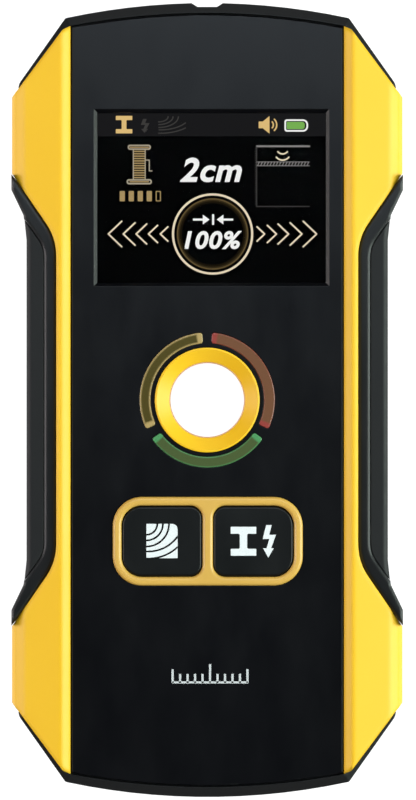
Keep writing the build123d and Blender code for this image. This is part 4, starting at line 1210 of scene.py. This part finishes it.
def paint(finish: bpy.types.Material, *nodes: str) -> None:
    """Puts a finish on every material slot of CAD nodes."""
    for node in nodes:
        shape = frame["nodes"][node]
        if not shape.material_slots:
            shape.data.materials.append(finish)
        for material_slot in shape.material_slots:
            material_slot.material = finish
        log.info("%s: %s", node, finish.name)


# --------------------------------------------------------------------- studio
@dataclass
class Studio:
    """Pale floor, soft lights and the camera, which looks straight down at the face.

    Attributes:
        view_height: how much of the object's plane the picture's long side spans, metres.
        lens: the camera's focal length, millimetres.
        sensor: the camera's sensor width, millimetres.
        aim_x: where the middle of the picture falls along X, metres.
    """

    view_height: float = 0.15496
    lens: float = 200.0
    sensor: float = 36.0
    aim_x: float = 0.000155
    floor_size: float = 6.0

    def build(self, face_height: float) -> None:
        """Makes the floor, the lights and the camera.

        Args:
            face_height: the height of the object's face, metres.
        """
        self.lay_floor()
        self.hang_lights()
        self.place_camera(face_height)

    def lay_floor(self) -> None:
        """A square floor just under the object, which glows a little, as a light table does."""
        half = self.floor_size / 2
        g = Graph("pale_floor")
        g.set(Base_Color=(0.2, 0.2, 0.2, 1.0), Roughness=0.9, Specular_IOR_Level=0.0)
        g.set(Emission_Color=(1.0, 1.0, 1.0, 1.0), Emission_Strength=1.0)
        corners = np.array([(-half, -half, 0), (half, -half, 0), (half, half, 0), (-half, half, 0)], float)
        corners[:, 2] = -0.0002
        floor = new_mesh("floor", corners, [[0, 1, 2, 3]], g.material)

    def lamp(self, name: str, place: Colour, size: tuple[float, float], power: float, tint: Colour) -> None:
        """A soft box at a place, facing the middle of the object."""
        light = bpy.data.lights.new(name, "AREA")
        light.shape = "RECTANGLE"
        light.size, light.size_y = size
        light.energy = power
        light.color = tint
        made = bpy.data.objects.new(name, light)
        made.location = place
        made.rotation_euler = (-Vector(place)).to_track_quat("-Z", "Y").to_euler()
        bpy.context.scene.collection.objects.link(made)

    def hang_lights(self) -> None:
        """A low key from the right, low fills from the left and both ends, and a weak box overhead."""
        self.lamp("key_box", (1.30, -0.03, 0.80), (0.9, 1.5), 39.0, (0.86, 1.0, 0.92))
        self.lamp("left_box", (-1.25, 0.0, 0.66), (0.6, 1.5), 15.5, (1.0, 0.94, 0.95))
        self.lamp("top_end_box", (0.0, 1.25, 0.75), (1.2, 0.6), 1.6, (1.0, 1.0, 1.0))
        self.lamp("foot_end_box", (0.0, -1.25, 0.75), (1.2, 0.6), 1.2, (1.0, 1.0, 1.0))
        self.lamp("overhead_box", (0.03, 0.28, 0.75), (0.4, 0.16), 1.65, (0.80, 0.91, 1.0))
        world = bpy.data.worlds.new("studio_air")
        world.use_nodes = True
        air = world.node_tree.nodes["Background"]
        air.inputs["Color"].default_value = (1.0, 1.0, 1.0, 1.0)
        air.inputs["Strength"].default_value = 0.02
        bpy.context.scene.world = world
        bpy.context.scene.view_settings.view_transform = "Standard"

    def place_camera(self, face_height: float) -> None:
        """A long lens straight above the face, with the display end at the picture's top."""
        camera = bpy.data.cameras.new("camera")
        camera.lens = self.lens
        camera.sensor_width = self.sensor
        camera.clip_start, camera.clip_end = 0.01, 20.0
        made = bpy.data.objects.new("camera", camera)
        distance = self.view_height * self.lens / self.sensor
        made.location = (self.aim_x, 0.0, face_height + distance)
        bpy.context.scene.collection.objects.link(made)
        bpy.context.scene.camera = made


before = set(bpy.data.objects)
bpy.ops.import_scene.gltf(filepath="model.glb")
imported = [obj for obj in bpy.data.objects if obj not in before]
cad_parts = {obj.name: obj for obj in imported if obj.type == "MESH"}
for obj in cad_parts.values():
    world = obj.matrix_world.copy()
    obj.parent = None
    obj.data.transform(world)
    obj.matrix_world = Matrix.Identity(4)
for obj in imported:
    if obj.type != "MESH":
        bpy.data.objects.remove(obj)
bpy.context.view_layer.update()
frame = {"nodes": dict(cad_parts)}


def main() -> None:
    """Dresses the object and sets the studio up."""
    Studio().build(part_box("front_panel")[1].z)
    housing = Housing()
    housing.dress()
    MarkingRing().dress(housing.yellow)
    Keypad().dress()
    Display().dress()
    FacePrint().build()
    FeltFeet().build()
    Works().dress()


if __name__ == "__main__":
    main()
